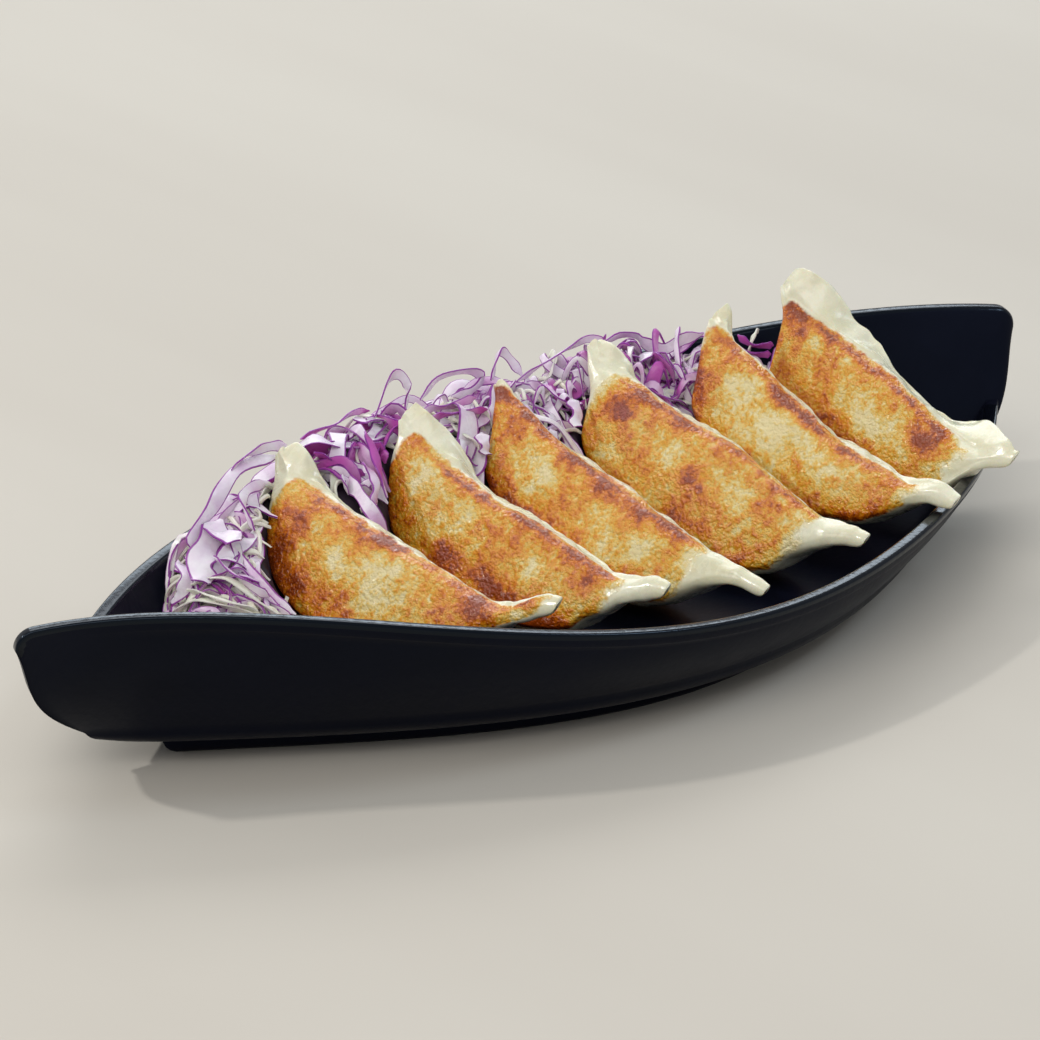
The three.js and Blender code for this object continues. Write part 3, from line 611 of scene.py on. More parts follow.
def dumpling_section(shape, a, share, s, seed):
    """Section of the skin at each station as (up, in from the face), with the face's edges and the belly.

    a is each station's place along the dumpling, share its place among the stations, and s its place between
    the dumpling's two ends, both from 0 to 1.
    """
    taper = np.sqrt(np.clip(1 - np.abs(2 * share - 1) ** 22, 0, 1))
    end_size = np.where(share > 0.5, mix(0.05, 1, taper), mix(0.3, 1, taper))
    tail_taper = np.where(share > 0.5, end_size, 1)
    before_tail = 1 - smoothstep(s, 0.8, 0.9)
    tail = smoothstep(s, 0.86, 0.93)

    # How far the skin lies behind the face: belly low on the back, depth high up, crest_back at the crest.
    belly = shape["depth"] * np.maximum(arch(s, 0.4, 0.94, 4), 0.2) * end_size
    depth = shape["depth"] * np.maximum(arch(s, 0.45, 0.95, 2.2), 0.16) * end_size
    crest_back = np.minimum(0.72 * depth, 9)

    # Heights up the face: its two edges, the lip just behind the upper one, and the frilled crest.
    top = outline(shape["top"], a)
    low = outline(shape["low"], a)
    lip = np.minimum(np.maximum(outline(shape["crest"], a), top + 0.3), top + 1.3)
    line = np.stack([a, 0 * a + seed, 0 * a], -1)
    frill = 0.35 * lattice_noise(line, 2.6, seed) * smoothstep(s, 0.08, 0.2) * before_tail
    crest = np.maximum(outline(shape["crest"], a + BACK_SLANT * crest_back), top + 0.2) + frill
    middle = (top + low) / 2
    low = mix(middle, np.minimum(low, top - 0.4), end_size)
    crest = mix(middle, crest, tail_taper)
    top = mix(middle, top, tail_taper)
    face = top - low
    corner = np.minimum(1.5, 0.3 * face)

    # Where the crest stands well above the face, the skin is a thin flap with a valley before it.
    flap = smoothstep(crest - top, 2.0, 4.5)
    thick = mix(1.5, 1.1, flap) * (0.4 + 0.6 * taper) * (1 - 0.8 * tail)
    side = mix(crest, mix(lip, crest, 0.35) - 0.5, flap)
    valley = mix(0.42 * depth, 0.45 * crest_back, flap)
    pleat = np.sin(2 * np.pi * PLEATS * s + 0.8 * np.sin(9 * s)) * np.sin(np.pi * s) * before_tail

    # Up the face, over the crest and down the back.
    ring = [
        (low + corner, 0 * a),
        (middle, -0.05 * face * (1 - tail) * np.minimum(1, face / 12)),
        (top - corner, 0 * a),
        (top + 0.1, 0.1 * belly + 0.3),
        (lip, 0.22 * belly),
        (side + 0.3 * pleat, np.maximum(valley, 0.26 * belly)),
        (crest - 0.7 * (1 - tail) - 0.3 * pleat, crest_back),
        (crest, crest_back + thick * 0.7),
        (crest - 1.0 * (1 - 0.7 * tail) - 0.4 * pleat, crest_back + thick * 1.5),
        (mix(crest, low, 0.25), mix(depth, crest_back + thick * 1.6, flap * 0.5)),
        (mix(top, low, 0.5), belly * 0.98),
        (mix(top, low, 0.82), belly * 0.72),
        (low - 0.1, belly * 0.36),
        (low + 0.05, belly * 0.1 + 0.15),
    ]
    section = closed_curve(np.stack([np.stack(pair, -1) for pair in ring], axis=1), SECTION)
    section = mix(section, rounded(section), smoothstep(s, 0.86, 0.96)[:, None, None])
    return section, top, low, belly


def browning(shape, a, ripple, size):
    """How browned the skin is, from 0 where it is bare to 1 on the face."""
    on_face = np.zeros(size)
    face_end = sum(SECTION[:3])
    on_face[:face_end] = 1
    on_face[face_end : face_end + len(UPPER_FADE)] = UPPER_FADE
    on_face[-len(LOWER_FADE) :] = LOWER_FADE
    tail_from = shape["top"][-1][0] - shape["bare"]
    started = smoothstep(a + 1.2 * ripple - shape["tip"], -1.5, 3.0)
    ended = 1 - smoothstep(a + 1.5 * ripple, tail_from - 5, tail_from + 4)
    return on_face * started * ended


def toasting(shape, a, b, top, low, length):
    """How toasted the face is: in its patches, along its edges and less towards its two ends."""
    toast = 0 * b
    for at, up, half_length, half_height, strength in shape["toast"]:
        wide = ((a - at) / half_length) ** 2 + ((b - up) / half_height) ** 2
        toast += strength * np.exp(-wide)
    tail_from = shape["top"][-1][0] - shape["bare"]
    upper = np.exp(-np.abs(b - top + 0.4) / 1.1)
    lower = np.exp(-np.abs(b - low) / 2.2)
    toast += 0.7 * upper + 0.6 * lower * (1 - 0.7 * smoothstep(a, length - 18, length - 8))
    toast -= 0.9 * smoothstep(a, tail_from - 8, tail_from + 2)
    toast -= 0.5 * (1 - smoothstep(a, shape["tip"], shape["tip"] + 5))
    return toast


def dumpling(name, shape, seed):
    """One dumpling as a closed skin, with how browned and how toasted it is at each point."""
    along, across, inwards, length = dumpling_axes(shape)
    start, end = shape["top"][0][0], shape["top"][-1][0]
    count = int((end - start) / STATION_STEP)
    even = np.arange(count + 1) / count
    share = 0.5 * even + 0.5 * (1 - np.cos(np.pi * even)) / 2  # the stations lie closer together at both ends
    a = mix(start, end, share)
    section, top, low, belly = dumpling_section(shape, a, share, np.clip(a / length, 0, 1), seed)
    b, c = section[..., 0], section[..., 1]
    rings = np.array(shape["far"]) + along * a[:, None, None] + across * b[..., None] + inwards * c[..., None]
    vertices, faces = tube(rings)

    def ripples(width, layer):
        """Noise over the skin with bumps about width across."""
        return lattice_noise(vertices, width, seed + layer).reshape(b.shape)

    a, share, top, low, belly = (values[:, None] for values in (a, share, top, low, belly))
    browned = browning(shape, a, ripples(3.0, 0), b.shape[1])
    toast = toasting(shape, a, b, top, low, length)

    # Relief: the filling under the skin, the blistered crust, and the folds of the bare skin.
    on_front = smoothstep(top - b, 0.5, 4) * smoothstep(b - low, 0.5, 4) * (c < 0.35 * belly)
    lumps = 0.45 * ripples(8, 1) + 0.1 * ripples(3.6, 2)
    crust = 0.05 * ripples(1.7, 3) + 0.07 * ripples(1.0, 4)
    fold = 0.35 * ripples(5.5, 5) + 0.14 * ripples(2.4, 6)
    lift = lumps * (0.15 + 0.85 * on_front) + crust * (0.1 + 0.9 * browned) + fold * (1 - browned)
    lift *= smoothstep(np.minimum(share, 1 - share), 0.0, 0.06)
    skin = (rings + surface_normals(rings) * lift[..., None]).reshape(-1, 3)
    piece = make_mesh(name, skin, faces, {"browned": browned.ravel(), "toast": toast.ravel()})
    shade(piece)
    return piece


def rounded(section):
    """The ellipses of the same sizes as each ring of a section."""
    low, high = section.min(axis=1, keepdims=True), section.max(axis=1, keepdims=True)
    middle, half = (low + high) / 2, (high - low) / 2
    return middle + half * unit((section - middle) / half)


def surface_normals(rings):
    """Outward normals of a closed tube of rings, from its own neighbours."""
    forward = np.gradient(rings, axis=0)
    around = np.roll(rings, -1, axis=1) - np.roll(rings, 1, axis=1)
    normals = np.cross(forward, around)
    length = np.linalg.norm(normals, axis=-1, keepdims=True)
    normals = normals / np.maximum(length, 1e-9)
    centre = rings.mean(axis=1, keepdims=True)
    facing = np.sum(normals * (rings - centre))
    return normals if facing > 0 else -normals


def dough():
    """Pan-fried dough: a blistered golden to brown crust with an oily gloss, and pale glossy skin."""
    n = Nodes("pan_fried_dough")
    browned = n.attribute("browned")
    toast = n.attribute("toast")
    broad = n.noise(5.5, detail=3, roughness=0.6)
    mottle = n.noise(1.5, detail=3, roughness=0.65)
    fine = n.noise(0.45, detail=2, roughness=0.6)
    heat = n.math("MULTIPLY_ADD", broad, 2.0, n.math("MULTIPLY_ADD", toast, 0.72, -1.64))
    heat = n.math("MULTIPLY_ADD", mottle, 1.2, heat)
    heat = n.math("MULTIPLY_ADD", fine, 0.9, heat)
    crust = n.ramp(
        heat,
        [
            (0.0, colour(222, 204, 150)),
            (0.16, colour(218, 190, 112)),
            (0.34, colour(216, 166, 56)),
            (0.52, colour(214, 142, 22)),
            (0.7, colour(204, 114, 8)),
            (0.86, colour(182, 88, 4)),
            (1.0, colour(142, 58, 2)),
        ],
    )
    pale = n.ramp(n.noise(4, detail=2), [(0.3, colour(218, 212, 178)), (0.7, colour(232, 229, 204))])
    edge = n.math("MULTIPLY_ADD", n.math("SUBTRACT", mottle, 0.5), 1.1, browned)
    share = n.span(edge, 0.25, 0.7)
    skin = n.blend(share, pale, crust)
    blister = n.math("POWER", n.cells(0.8), 2.0)
    height = n.math("MULTIPLY_ADD", blister, -0.6, n.math("MULTIPLY", fine, 1.5))
    height = n.math("MULTIPLY_ADD", mottle, 2.4, height)
    strength = n.math("MULTIPLY_ADD", share, 0.9, 0.07)
    relief = n.bump(height, 0.34, strength=strength)
    patchy = n.span(n.noise(0.7, detail=2), 0.35, 0.7, 0.05, 0.24)
    roughness = n.math("MULTIPLY_ADD", n.math("SUBTRACT", 1.0, share), 0.13, patchy)
    n.shader.subsurface_method = "RANDOM_WALK"
    return n.set(
        base_color=skin,
        roughness=roughness,
        specular_ior_level=0.65,
        normal=relief,
        subsurface_weight=0.18,
        subsurface_radius=(1.0, 0.55, 0.25),
        subsurface_scale=0.002,
    )


# ---------------------------------------------------------------- cabbage

HEAP_MIDDLE, HEAP_LEFT, HEAP_RIGHT, HEAP_RISE = 19, 112, 120, 31  # place of its top, reach each way, height
HEAP_STEEP_LEFT, HEAP_STEEP_RIGHT = 5, 3.2  # the larger, the squarer the outline towards that end
HEAP_RIDGE = (0.66, 0.84)  # share of the way to the far edge where the ridge lies, left and right
HEAP_DROP = (5, 1.5)  # how far the far edge lies below the ridge, left and right
HEAP_TURN = 40  # length of the stretch where left turns into right
HEAP_NEAR = (-6, 8)  # where the near edge lies across the dish, left and right
HEAP_NEAR_FROM, HEAP_NEAR_TO = -52, -22  # the stretch where it moves from one to the other
HEAP_EDGE = 1.5  # least height of the heap's outline over the dish's floor
HEAP_STEEPNESS = 1.8
WALL_GAP = 1.2  # between the heap and the far wall
CORE_SINK = 3.2  # how far the heap's middle, painted near-black as shade, lies below its outline
OPEN_SIDE = unit((-0.59, -0.71, 0.37))  # the browned faces are open to this side
SHRED_TOP = 52  # no shred reaches higher


def far_reach(x, z):
    """Distance of the far wall's inner face from the long axis at x and height z, and its rim's height."""
    low, high = -1.0, 1.0
    for _ in range(24):
        t = np.array((low + high) / 2)
        rim = rim_point(t)
        v = np.clip((rim[2] - z) / (rim[2] - CHINE_HEIGHT), 0, 1)
        point = wall_point(t, v) - outwards(t) * WALL
        if point[0] < -x:
            low = float(t)
        else:
            high = float(t)
    return -point[1], rim[2]


class Heap:
    """The heap's outline, sampled once along the dish."""

    def __init__(self):
        self.x = np.linspace(-93, 117, 106)
        self.spans = np.array([self.span(x) for x in self.x]).T

    @staticmethod
    def span(x):
        """Near edge, ridge and far edge of the heap across the dish, and its heights at the last two."""
        left = x < HEAP_MIDDLE
        share = min(abs(x - HEAP_MIDDLE) / (HEAP_LEFT if left else HEAP_RIGHT), 1)
        top = FLOOR + HEAP_RISE * (1 - share ** (HEAP_STEEP_LEFT if left else HEAP_STEEP_RIGHT))
        turn = min(max((x - HEAP_MIDDLE) / HEAP_TURN, 0), 1)
        wall_rim = far_reach(x, HALF_LENGTH)[1]
        far_top = max(FLOOR + HEAP_EDGE, min(wall_rim - 0.5, top - mix(*HEAP_DROP, turn)))
        far = far_reach(x, far_top)[0] - WALL_GAP
        along = min(max((x - HEAP_NEAR_FROM) / (HEAP_NEAR_TO - HEAP_NEAR_FROM), 0), 1)
        near = min(mix(*HEAP_NEAR, along), far * 0.3)
        return near, far * mix(*HEAP_RIDGE, turn), far, top, far_top

    def at(self, x):
        return [np.interp(x, self.x, values) for values in self.spans]

    def height(self, x, y):
        near, ridge, far, top, far_top = self.at(x)
        behind = top - (top - far_top) * np.clip((y - ridge) / (far - ridge), 0, 1) ** HEAP_STEEPNESS
        fall = np.clip((ridge - y) / (ridge - near), 0, 1) ** HEAP_STEEPNESS
        before = np.maximum(FLOOR + HEAP_EDGE, top - (top - FLOOR) * fall)
        return np.where(y > ridge, behind, before)


class Obstacles:
    """What the shreds keep clear of: the dish first, then the dumplings."""

    def __init__(self, pieces):
        self.trees = []
        for piece in pieces:
            mesh = piece.data
            vertices = [v.co.copy() for v in mesh.vertices]
            self.trees.append(BVHTree.FromPolygons(vertices, [list(p.vertices) for p in mesh.polygons]))

    def gap(self, point):
        """Distance in millimetres from a point to the nearest obstacle, below 0 inside one."""
        place = Vector(point) * MM
        nearest = 1e9
        for tree in self.trees:
            found, normal, _, distance = tree.find_nearest(place)
            inside = (place - found).dot(normal) < 0 and self.encloses(tree, place)
            nearest = min(nearest, -distance / MM if inside else distance / MM)
        return nearest

    @staticmethod
    def encloses(tree, place):
        """Whether a line straight up from the point leaves the piece once more than it enters it."""
        hits = 0
        while True:
            found = tree.ray_cast(place, Vector((0, 0, 1)))[0]
            if found is None:
                return hits % 2 == 1
            hits += 1
            place = found + Vector((0, 0, 0.001 * MM))

    def hides_face(self, point):
        """Whether the point stands before a dumpling, seen from the open side."""
        place = Vector(point) * MM
        towards = Vector(-OPEN_SIDE)
        return any(tree.ray_cast(place, towards, 0.12)[0] is not None for tree in self.trees[1:])


def ribbon_rings(path, flat, width, thickness, section):
    """Rings of a strip along a path. flat is the direction across it at each point, section its outline."""
    along = unit(np.gradient(path, axis=0))
    across = unit(flat - along * np.sum(flat * along, axis=1, keepdims=True))
    thin = np.cross(along, across)
    wide, high = np.array(section).T[:, None, :, None] * 0.5
    sideways = across[:, None, :] * wide * width[:, None, None]
    return path[:, None, :] + sideways + thin[:, None, :] * (high * thickness)


def turned(path, angle):
    """Directions across a strip along a path: level at an angle of 0 and upright at a quarter turn."""
    run = unit(np.gradient(path, axis=0))
    level = unit(np.cross(run, (0, 0, 1)) + (1e-6, 0, 0))
    return level * np.cos(angle)[:, None] + np.cross(level, run) * np.sin(angle)[:, None]


class Strips:
    """Many strips joined into one mesh."""

    def __init__(self, section, rind):
        self.section, self.rind = section, rind
        self.vertices, self.faces = [], []
        self.values = {"rind": [], "stain": []}
        self.count = 0

    def add(self, path, flat, width, thickness, stain):
        vertices, faces = tube(ribbon_rings(path, flat, width, thickness, self.section))
        self.vertices.append(vertices)
        self.faces += [[i + self.count for i in face] for face in faces]
        self.count += len(vertices)
        self.values["rind"].append(np.tile(self.rind, len(path)))
        self.values["stain"].append(np.full(len(vertices), stain))

    def build(self, name):
        values = {key: np.concatenate(parts) for key, parts in self.values.items()}
        piece = make_mesh(name, np.vstack(self.vertices), self.faces, values)
        shade(piece, 50)
        return piece


RIBBON_SECTION = [(1, -0.2), (1, 0.8), (0.76, 1), (-0.76, 1), (-1, 0.8), (-1, -0.2), (-0.76, -1), (0.76, -1)]
RIBBON_RIND = [1, 1, 0, 0, 1, 1, 0, 0]
STRAND_SECTION = [(1, 0), (0.5, 0.9), (-0.5, 0.9), (-1, 0), (-0.5, -0.9), (0.5, -0.9)]
STRAND_RIND = [0] * len(STRAND_SECTION)
PATH_POINTS = 24
ALL_ALONG, LEFT_END = (-93, 106), (-93, -44)  # stretches of the dish that shreds are scattered over
VALLEYS = ((-43, -17), (-12, 10), (14, 40), (44, 70), (74, 94))  # between the dumplings' far ends

# The shreds that show most, each as (width, tilt in degrees, tint, points). A tilt of 0 lies level across its
# run and 90 stands on edge. The tint runs from white at 0 over lilac to magenta at 1. The points are (x, y,
# height over the heap's outline).
MAIN_RIBBONS = [
    (3.2, 45, 0.2, [(-44, 40, 4.5), (-51.5, 38, 7), (-58.5, 36, 9), (-63.5, 34, 8.5), (-68, 32, 7.5),
        (-72, 30, 8), (-75.5, 29, 7.5), (-76.5, 28, 6)]),
    (2.4, 60, 0.5, [(-50.5, 36, 1.5), (-57, 34, 3.5), (-61, 31, 4), (-62.5, 27, 2.5), (-63, 24, 1.5)]),
    (2.4, 70, 0.4, [(-60.5, 36, 9.5), (-54.5, 38, 10), (-48, 40, 8.5), (-41, 42, 6)]),
    (6, 15, 0.25, [(-68, 29, 5), (-74, 26, 5), (-78, 23.5, 5), (-79, 19, 4)]),
    (2.2, 60, 0.6, [(-75, 22.5, 5), (-75, 16.5, 5), (-73, 12, 4), (-70.5, 9, 3)]),
    (3, 40, 0.3, [(-76.5, 33.5, 4), (-79.5, 26, 4), (-82, 25, 4), (-82, 28.5, 3)]),
    (5.5, 15, 0.25, [(-72, 33, 4), (-71, 27, 5), (-69, 21, 5)]),
    (2.2, 30, 0.05, [(-84, 27, 3), (-82, 20, 3), (-79, 13, 2.5), (-74, 7, 2)]),
    (1.8, 30, 0.05, [(-80, 24, 3), (-76, 17, 4), (-73, 9, 3), (-69, 3, 2)]),
    (1.4, 40, 0.05, [(-81.5, 23.5, 4), (-80.5, 16.5, 4), (-78, 11, 4), (-74.5, 8, 3)]),
    (2.4, 50, 0.95, [(-38, 36, 3), (-34, 34, 0.5), (-32, 31, 0), (-29.5, 29, 0)]),
    (1.6, 60, 0.9, [(-37, 42, 5.5), (-31.5, 43, 5.5), (-26, 44, 5), (-20.5, 45, 6), (-15, 46, 5)]),
    (4.5, 25, 0.3, [(-21, 44, 4.5), (-17.5, 43, 3), (-15, 42, 1), (-18, 40, 0), (-23.5, 38, 0.5)]),
    (2.4, 40, 0.95, [(-31, 28, 4), (-30.5, 25, 4), (-32, 22, 4), (-35.5, 19, 4)]),
    (2.2, 40, 1, [(-24, 36, 4), (-25, 32, 3), (-27, 27, 2), (-29, 22, 2)]),
    (2.4, 80, 0.45, [(-19, 42, 4), (-16, 43, 3), (-11.5, 44, 10), (-8.5, 44, 11.5), (-6.5, 43, 8),
        (-8, 42, 3)]),
    (2.4, 75, 0.5, [(-3, 43, 4), (4, 45, 7.5), (13, 45, 7), (15.5, 44, 4.5), (11, 43, 2.5), (5, 42, 3)]),
    (2, 70, 0.9, [(-6, 38, 4), (1, 38, 3), (8, 37, 4)]),
    (1.8, 60, 0.9, [(-6, 35, 4), (1, 34, 4), (8, 33, 4)]),
    (3.4, 30, 0.2, [(2.5, 28.5, 4), (1.5, 26, 4), (0.5, 24.5, 4)]),
    (3, 30, 0.05, [(-1.5, 34, 2), (0, 31, 2), (1, 28, 2), (1, 26, 2)]),
    (2.2, 75, 0.3, [(18, 44, 3), (20.5, 45, 8), (22.5, 46, 9.5), (25, 46, 7), (28, 45, 2)]),
    (2.2, 60, 0.5, [(24, 42, 2), (33, 44, 3.5), (42, 45, 5.5), (48, 45, 6.5), (53, 44, 4)]),
    (3.4, 30, 0.2, [(30, 30.5, 4), (29.5, 27.5, 4), (26.5, 25, 4)]),
    (3, 70, 0.5, [(53.5, 46, 5), (58, 46, 6), (62, 45, 5.5), (63, 43, 3.5), (66, 40, 2), (69.5, 37, 5),
        (73, 34, 7)]),
    (3.4, 40, 0.35, [(55.5, 36, 3), (60, 38, 3), (63, 36, 2.5), (62.5, 33, 2.5), (63, 28, 2.5)]),
    (2.6, 50, 0.9, [(49.5, 29, 4), (52.5, 27.5, 4), (54, 25, 4), (54.5, 22.5, 4)]),
    (1.8, 60, 1, [(82.5, 33, 6.5), (85, 31, 4.5), (88, 30, 5), (91, 30, 6)]),
    (1.8, 60, 1, [(81, 32, 3), (83.5, 30, 2.5), (86.5, 29, 2.5), (88.5, 28, 3)]),
    (1.4, 60, 0.05, [(84, 31, 2), (86.5, 32, 7), (89, 33, 9)]),
]


def wander(draw, heap, stretch, reach, length, loop, lift):
    """A path of a shred that lies on the heap, with arches and, at loop = 1, a strong curl."""
    x = draw.uniform(*stretch)
    near, ridge, far, _, _ = heap.at(x)
    y = mix(near + 1, far - 1, mix(*reach, draw.random() ** 0.75))
    heading = draw.uniform(0, math.tau)
    turn = draw.uniform(-1, 1) * (1.2 + 4.5 * loop)
    steps = 9
    points = []
    for _ in range(steps):
        points.append((x, y))
        x += math.cos(heading) * length / steps
        y += math.sin(heading) * length / steps
        heading += turn / steps + draw.uniform(-0.35, 0.35)
        turn += draw.uniform(-1.2, 1.2)
    path = []
    phase = draw.uniform(0, math.tau)
    for i, (px, py) in enumerate(points):
        share = i / (steps - 1)
        near, _, far, _, _ = heap.at(px)
        py = min(max(py, near - 3), far - 0.8)
        wave = math.sin(phase + share * (3 + 5 * loop)) * 0.5 + 0.5
        end_drop = 1 - abs(2 * share - 1) ** 3
        path.append((px, py, float(heap.height(px, py)) - CORE_SINK + 0.8 + lift * (0.25 + wave) * end_drop))
    path = smooth_path(path, PATH_POINTS)
    share = np.linspace(0, 1, PATH_POINTS)
    path[:, 2] += 0.5 * np.sin(phase + share * length / draw.uniform(1.2, 2.2))
    return path


def pointed(share):
    """Width of a shred at a share of its run, narrow at both ends, as a share of its full width."""
    return np.clip(np.minimum(share, 1 - share) * 9, 0.15, 1)


def cabbage(dish, dumplings):
    """The core of the heap and its shreds: first the ones that show most, then others wherever they fit."""
    heap = Heap()
    obstacles = Obstacles([dish, *dumplings])
    draw = random.Random(41)
    core = heap_core(heap, obstacles)
    ribbons = Strips(RIBBON_SECTION, RIBBON_RIND)
    strands = Strips(STRAND_SECTION, STRAND_RIND)

    def fits(path, reach):
        """Whether a shred clears its neighbours by reach and hides no browned face."""
        for point in path[::3]:
            if point[2] > SHRED_TOP or obstacles.gap(point) < reach or obstacles.hides_face(point):
                return False
        return True

    def scatter(strips, count, stretch, widths, thickness, lengths, lifts, loops, reach=(0, 1), patience=12):
        """Lays up to count shreds on a stretch of the heap, with sizes drawn from the given spans."""
        made = tries = 0
        while made < count and tries < count * patience:
            tries += 1
            length, loop, lift = draw.uniform(*lengths), draw.choice(loops), draw.uniform(*lifts)
            path = wander(draw, heap, stretch, reach, length, loop, lift)
            top_width = draw.uniform(*widths)
            if not fits(path, 0.25 * top_width + 0.4):
                continue
            ripple = 1 + 0.25 * np.sin(share * draw.uniform(4, 12) + draw.uniform(0, 6))
            flat = turned(path, draw.uniform(0, math.pi) + draw.uniform(-1.8, 1.8) * share)
            width = top_width * pointed(share) * ripple
            strips.add(path, flat, width, draw.uniform(*thickness), draw.random())
            made += 1

    share = np.linspace(0, 1, PATH_POINTS)
    for width, tilt, tint, points in MAIN_RIBBONS:
        path = smooth_path([(x, y, float(heap.height(x, y)) + lift) for x, y, lift in points], PATH_POINTS)
        if fits(path, 0.5):
            flat = turned(path, math.radians(tilt) + 0.5 * np.sin(share * 7 + width))
            ribbons.add(path, flat, width * pointed(share) * (1 + 0.15 * np.sin(share * 15)), 0.45, tint)
    scatter(ribbons, 110, ALL_ALONG, (1.2, 3.2), (0.35, 0.55), (20, 46), (0.5, 3.2), (0, 0.2, 0.6))
    scatter(ribbons, 60, ALL_ALONG, (1.6, 4.4), (0.35, 0.55), (20, 40), (2.5, 6.5), (0.3, 0.7, 1))
    scatter(ribbons, 80, LEFT_END, (1.2, 3.6), (0.35, 0.5), (12, 34), (0.5, 5.0), (0, 0.4, 0.9))
    for valley in VALLEYS:
        middle = (0.2, 0.85)
        scatter(ribbons, 34, valley, (1.2, 3.0), (0.35, 0.5), (6, 14), (0.5, 4.5), (0, 0.3, 0.8), middle, 60)
        scatter(strands, 14, valley, (0.6, 1.2), (0.7, 1.0), (8, 16), (0.2, 3.0), (0, 0.3), middle, 60)
    scatter(ribbons, 34, (42, 86), (1.2, 3.0), (0.35, 0.5), (10, 22), (4.0, 8.0), (0.3, 0.8), (0.5, 0.95), 30)
    scatter(strands, 90, ALL_ALONG, (0.6, 1.2), (0.7, 1.0), (16, 36), (0.2, 3.0), (0, 0.3, 0.8))
    scatter(strands, 70, LEFT_END, (0.6, 1.3), (0.7, 1.1), (14, 30), (0.2, 3.0), (0, 0.3, 0.8))
    return core, ribbons.build("cabbage_ribbons"), strands.build("cabbage_strands")


def heap_core(heap, obstacles):
    """The middle of the heap, below the shreds that show, which carries the painted shade of the heap's inside.
    """
    rings = []
    for x in np.linspace(-88, 112, 101):
        near, _, far, _, _ = heap.at(x)
        across = np.linspace(near + 2.5, far - 1.2, 36)
        top = np.maximum(heap.height(x, across) - CORE_SINK, FLOOR + 0.8)
        upper, lower = (np.column_stack([0 * across + x, across, z]) for z in (top, 0 * top + FLOOR + 0.4))
        rings.append(np.vstack([upper, lower[::-1]]))
    rings = np.array(rings)
    flat = rings.reshape(-1, 3)
    for i, point in enumerate(flat):
        for _ in range(12):
            if point[2] <= FLOOR + 0.45 or (obstacles.gap(point) > 0.5 and not obstacles.hides_face(point)):
                break
            point[2] = max(point[2] - 1.5, FLOOR + 0.4)
    bumps = 0.7 * lattice_noise(flat, 3.5, 5)
    lifted = flat[:, 2] > FLOOR + 1
    flat[lifted, 2] += np.minimum(bumps[lifted], 0)
    vertices, faces = tube(flat.reshape(rings.shape))
    piece = make_mesh("cabbage_core", vertices, faces)
    shade(piece)
    return piece


def leaf(name, strand=False):
    """Raw cabbage: pale lilac flesh between dark purple edges, or plain white flesh."""
    n = Nodes(name)
    flesh_noise = n.noise(3.0, detail=3)
    if strand:
        tint = n.ramp(flesh_noise, [(0.3, colour(226, 222, 196)), (0.7, colour(242, 238, 226))])
    else:
        rind = n.attribute("rind")
        stain = n.attribute("stain")
        flesh = n.ramp(flesh_noise, [(0.3, colour(222, 196, 222)), (0.65, colour(243, 232, 242))])
        white = n.span(stain, 0.1, 0.14, 1, 0)
        flesh = n.blend(white, flesh, colour(232, 232, 212))
        stained = n.math("MULTIPLY_ADD", n.noise(8, detail=2), 1.0, n.math("MULTIPLY", stain, 0.55))
        flesh = n.blend(n.span(stained, 0.84, 1.08), flesh, colour(180, 78, 164))
        line = n.span(n.math("MULTIPLY_ADD", n.noise(0.7), 0.3, rind), 0.32, 0.72)
        line = n.math("MULTIPLY", line, n.math("MULTIPLY_ADD", white, -0.8, 1.0))
        tint = n.blend(line, flesh, colour(136, 46, 146))
    return n.set(
        base_color=tint,
        roughness=n.span(n.noise(1.2), 0.3, 0.7, 0.25, 0.45),
        normal=n.bump(n.noise(0.6, detail=2), 0.12),
        subsurface_weight=0.3,
        subsurface_radius=(1.0, 0.7, 0.9),
        subsurface_scale=0.002,
    )


def shade_painted_leaf():
    """Cabbage inside the heap, with the shade there painted into its colour as near-black purple."""
    n = Nodes("shaded_cabbage")
    shade_noise = n.noise(2.5, detail=3)
    # painted shade: near-black purple stands for the shadow deep in the heap
    tint = n.ramp(shade_noise, [(0.35, colour(12, 7, 13)), (0.7, colour(44, 22, 48))])
    return n.set(base_color=tint, roughness=0.6, normal=n.bump(shade_noise, 0.6))


# ---------------------------------------------------------------- stage, light and camera

CAMERA_PLACE = (-626.1, -743.4, 418.1)
CAMERA_TARGET = (-5.9, 4.9, 25.6)
CAMERA_LENS = 167.55  # on a sensor 36 mm wide


def stage():
    size = 4000
    corners = [(-size, -size, 0), (size, -size, 0), (size, size, 0), (-size, size, 0)]
    floor = make_mesh("floor", corners, [(0, 1, 2, 3)])
    n = Nodes("pale_floor")
    grain = n.noise(60, detail=3, stretch=(1, 0.12, 1))
    tint = n.ramp(grain, [(0.3, colour(198, 191, 180)), (0.7, colour(205, 199, 188))])
    floor.data.materials.append(n.set(base_color=tint, roughness=0.9, specular_ior_level=0.1))


def aim(name, data, place, target):
    """Puts a light or camera at a place, turned to its target."""
    holder = bpy.data.objects.new(name, data)
    holder.location = Vector(place) * MM
    holder.rotation_euler = (Vector(target) - Vector(place)).to_track_quat("-Z", "Y").to_euler()
    bpy.context.collection.objects.link(holder)
    return holder


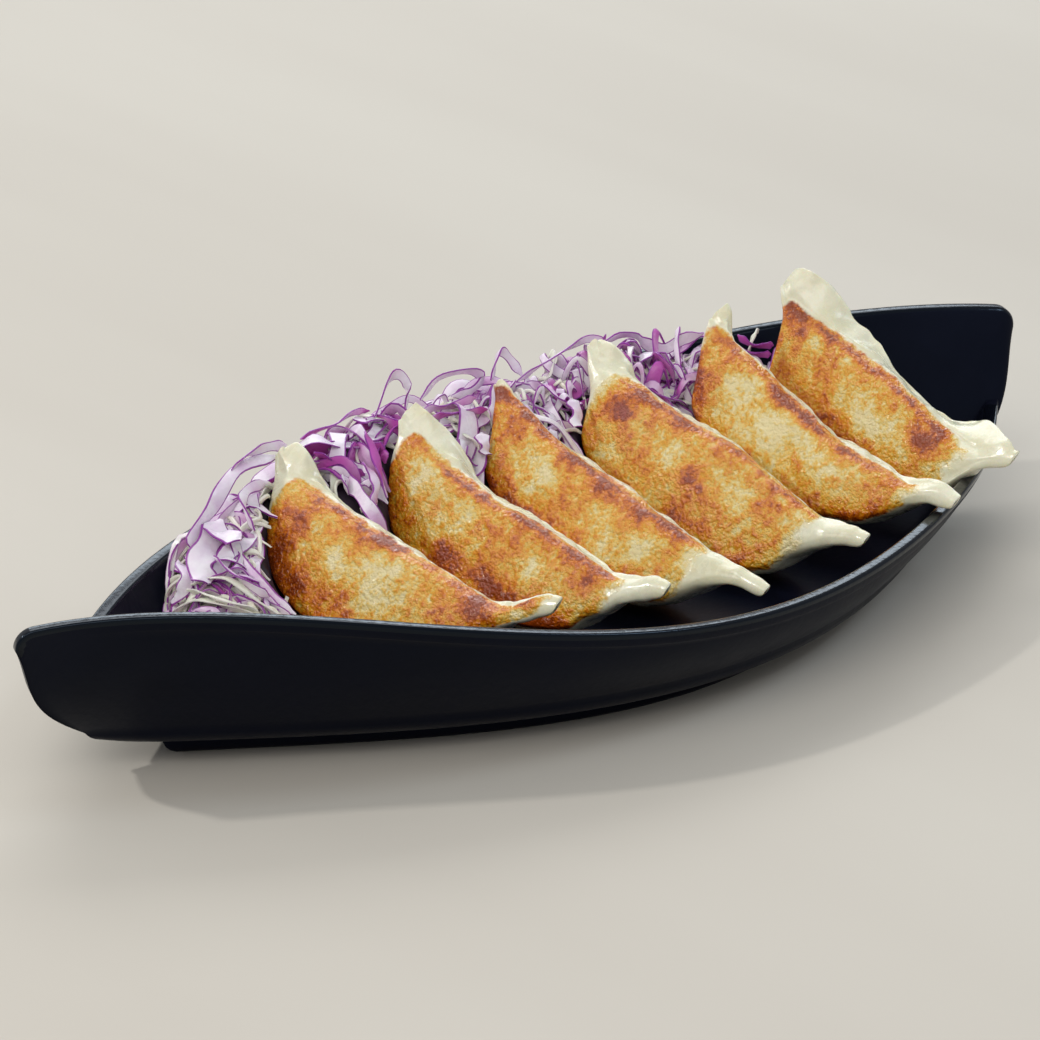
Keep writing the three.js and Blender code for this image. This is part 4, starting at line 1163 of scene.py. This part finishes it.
def light(name, place, target, size, power, tint):
    lamp = bpy.data.lights.new(name, "AREA")
    lamp.shape = "RECTANGLE"
    lamp.size, lamp.size_y = (side * MM for side in size)
    lamp.energy = power
    lamp.color = tint
    aim(name, lamp, place, target)


def camera():
    lens = bpy.data.cameras.new("camera")
    lens.lens = CAMERA_LENS
    lens.sensor_width = 36
    bpy.context.scene.camera = aim("camera", lens, CAMERA_PLACE, CAMERA_TARGET)


def surroundings():
    world = bpy.data.worlds.new("soft_room")
    world.use_nodes = True
    background = world.node_tree.nodes["Background"]
    background.inputs["Color"].default_value = (0.93, 0.96, 1.0, 1)
    background.inputs["Strength"].default_value = 0.45
    bpy.context.scene.world = world
    bpy.context.scene.view_settings.view_transform = "Standard"


# ---------------------------------------------------------------- assembly


def finish_piece(piece, materials, node):
    for material in materials:
        piece.data.materials.append(material)
    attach(piece, "root")
    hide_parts(node)


camera()
surroundings()
stage()
light("key", (-640, -420, 880), (0, 0, 30), (900, 700), 4.5, (1.0, 0.98, 0.95))
light("window", (-760, 480, 760), (0, 0, 30), (60, 44), 3.6, (1.0, 0.99, 0.97))
light("back", (450, 750, 900), (0, 0, 20), (900, 600), 5.0, (0.96, 0.98, 1.0))
light("horizon", (626, 743, 425), (0, 0, 30), (1000, 130), 1.6, (0.82, 0.92, 1.0))
light("rim", (560, -480, 820), (0, 0, 20), (260, 260), 1.8, (0.75, 0.87, 1.0))

dish = build_dish()
black = melamine("black_melamine", colour(7, 8, 16), colour(16, 18, 32), 0.08, (0.26, 0.42))
rim_black = melamine("polished_rim", colour(2, 3, 7), colour(6, 8, 16), 0.25, (0.08, 0.14))
finish_piece(dish, [black, rim_black], "dish")

dough_material = dough()
dumplings = []
for number, shape in enumerate(DUMPLINGS, 1):
    made = dumpling(f"gyoza_{number}_dough", shape, 10 * number)
    finish_piece(made, [dough_material], f"gyoza_{number}")
    dumplings.append(made)

core, ribbons, strands = cabbage(dish, dumplings)
finish_piece(core, [shade_painted_leaf()], "cabbage_shreds")
finish_piece(ribbons, [leaf("purple_leaf")], "cabbage_shreds")
finish_piece(strands, [leaf("white_leaf", strand=True)], "cabbage_shreds")
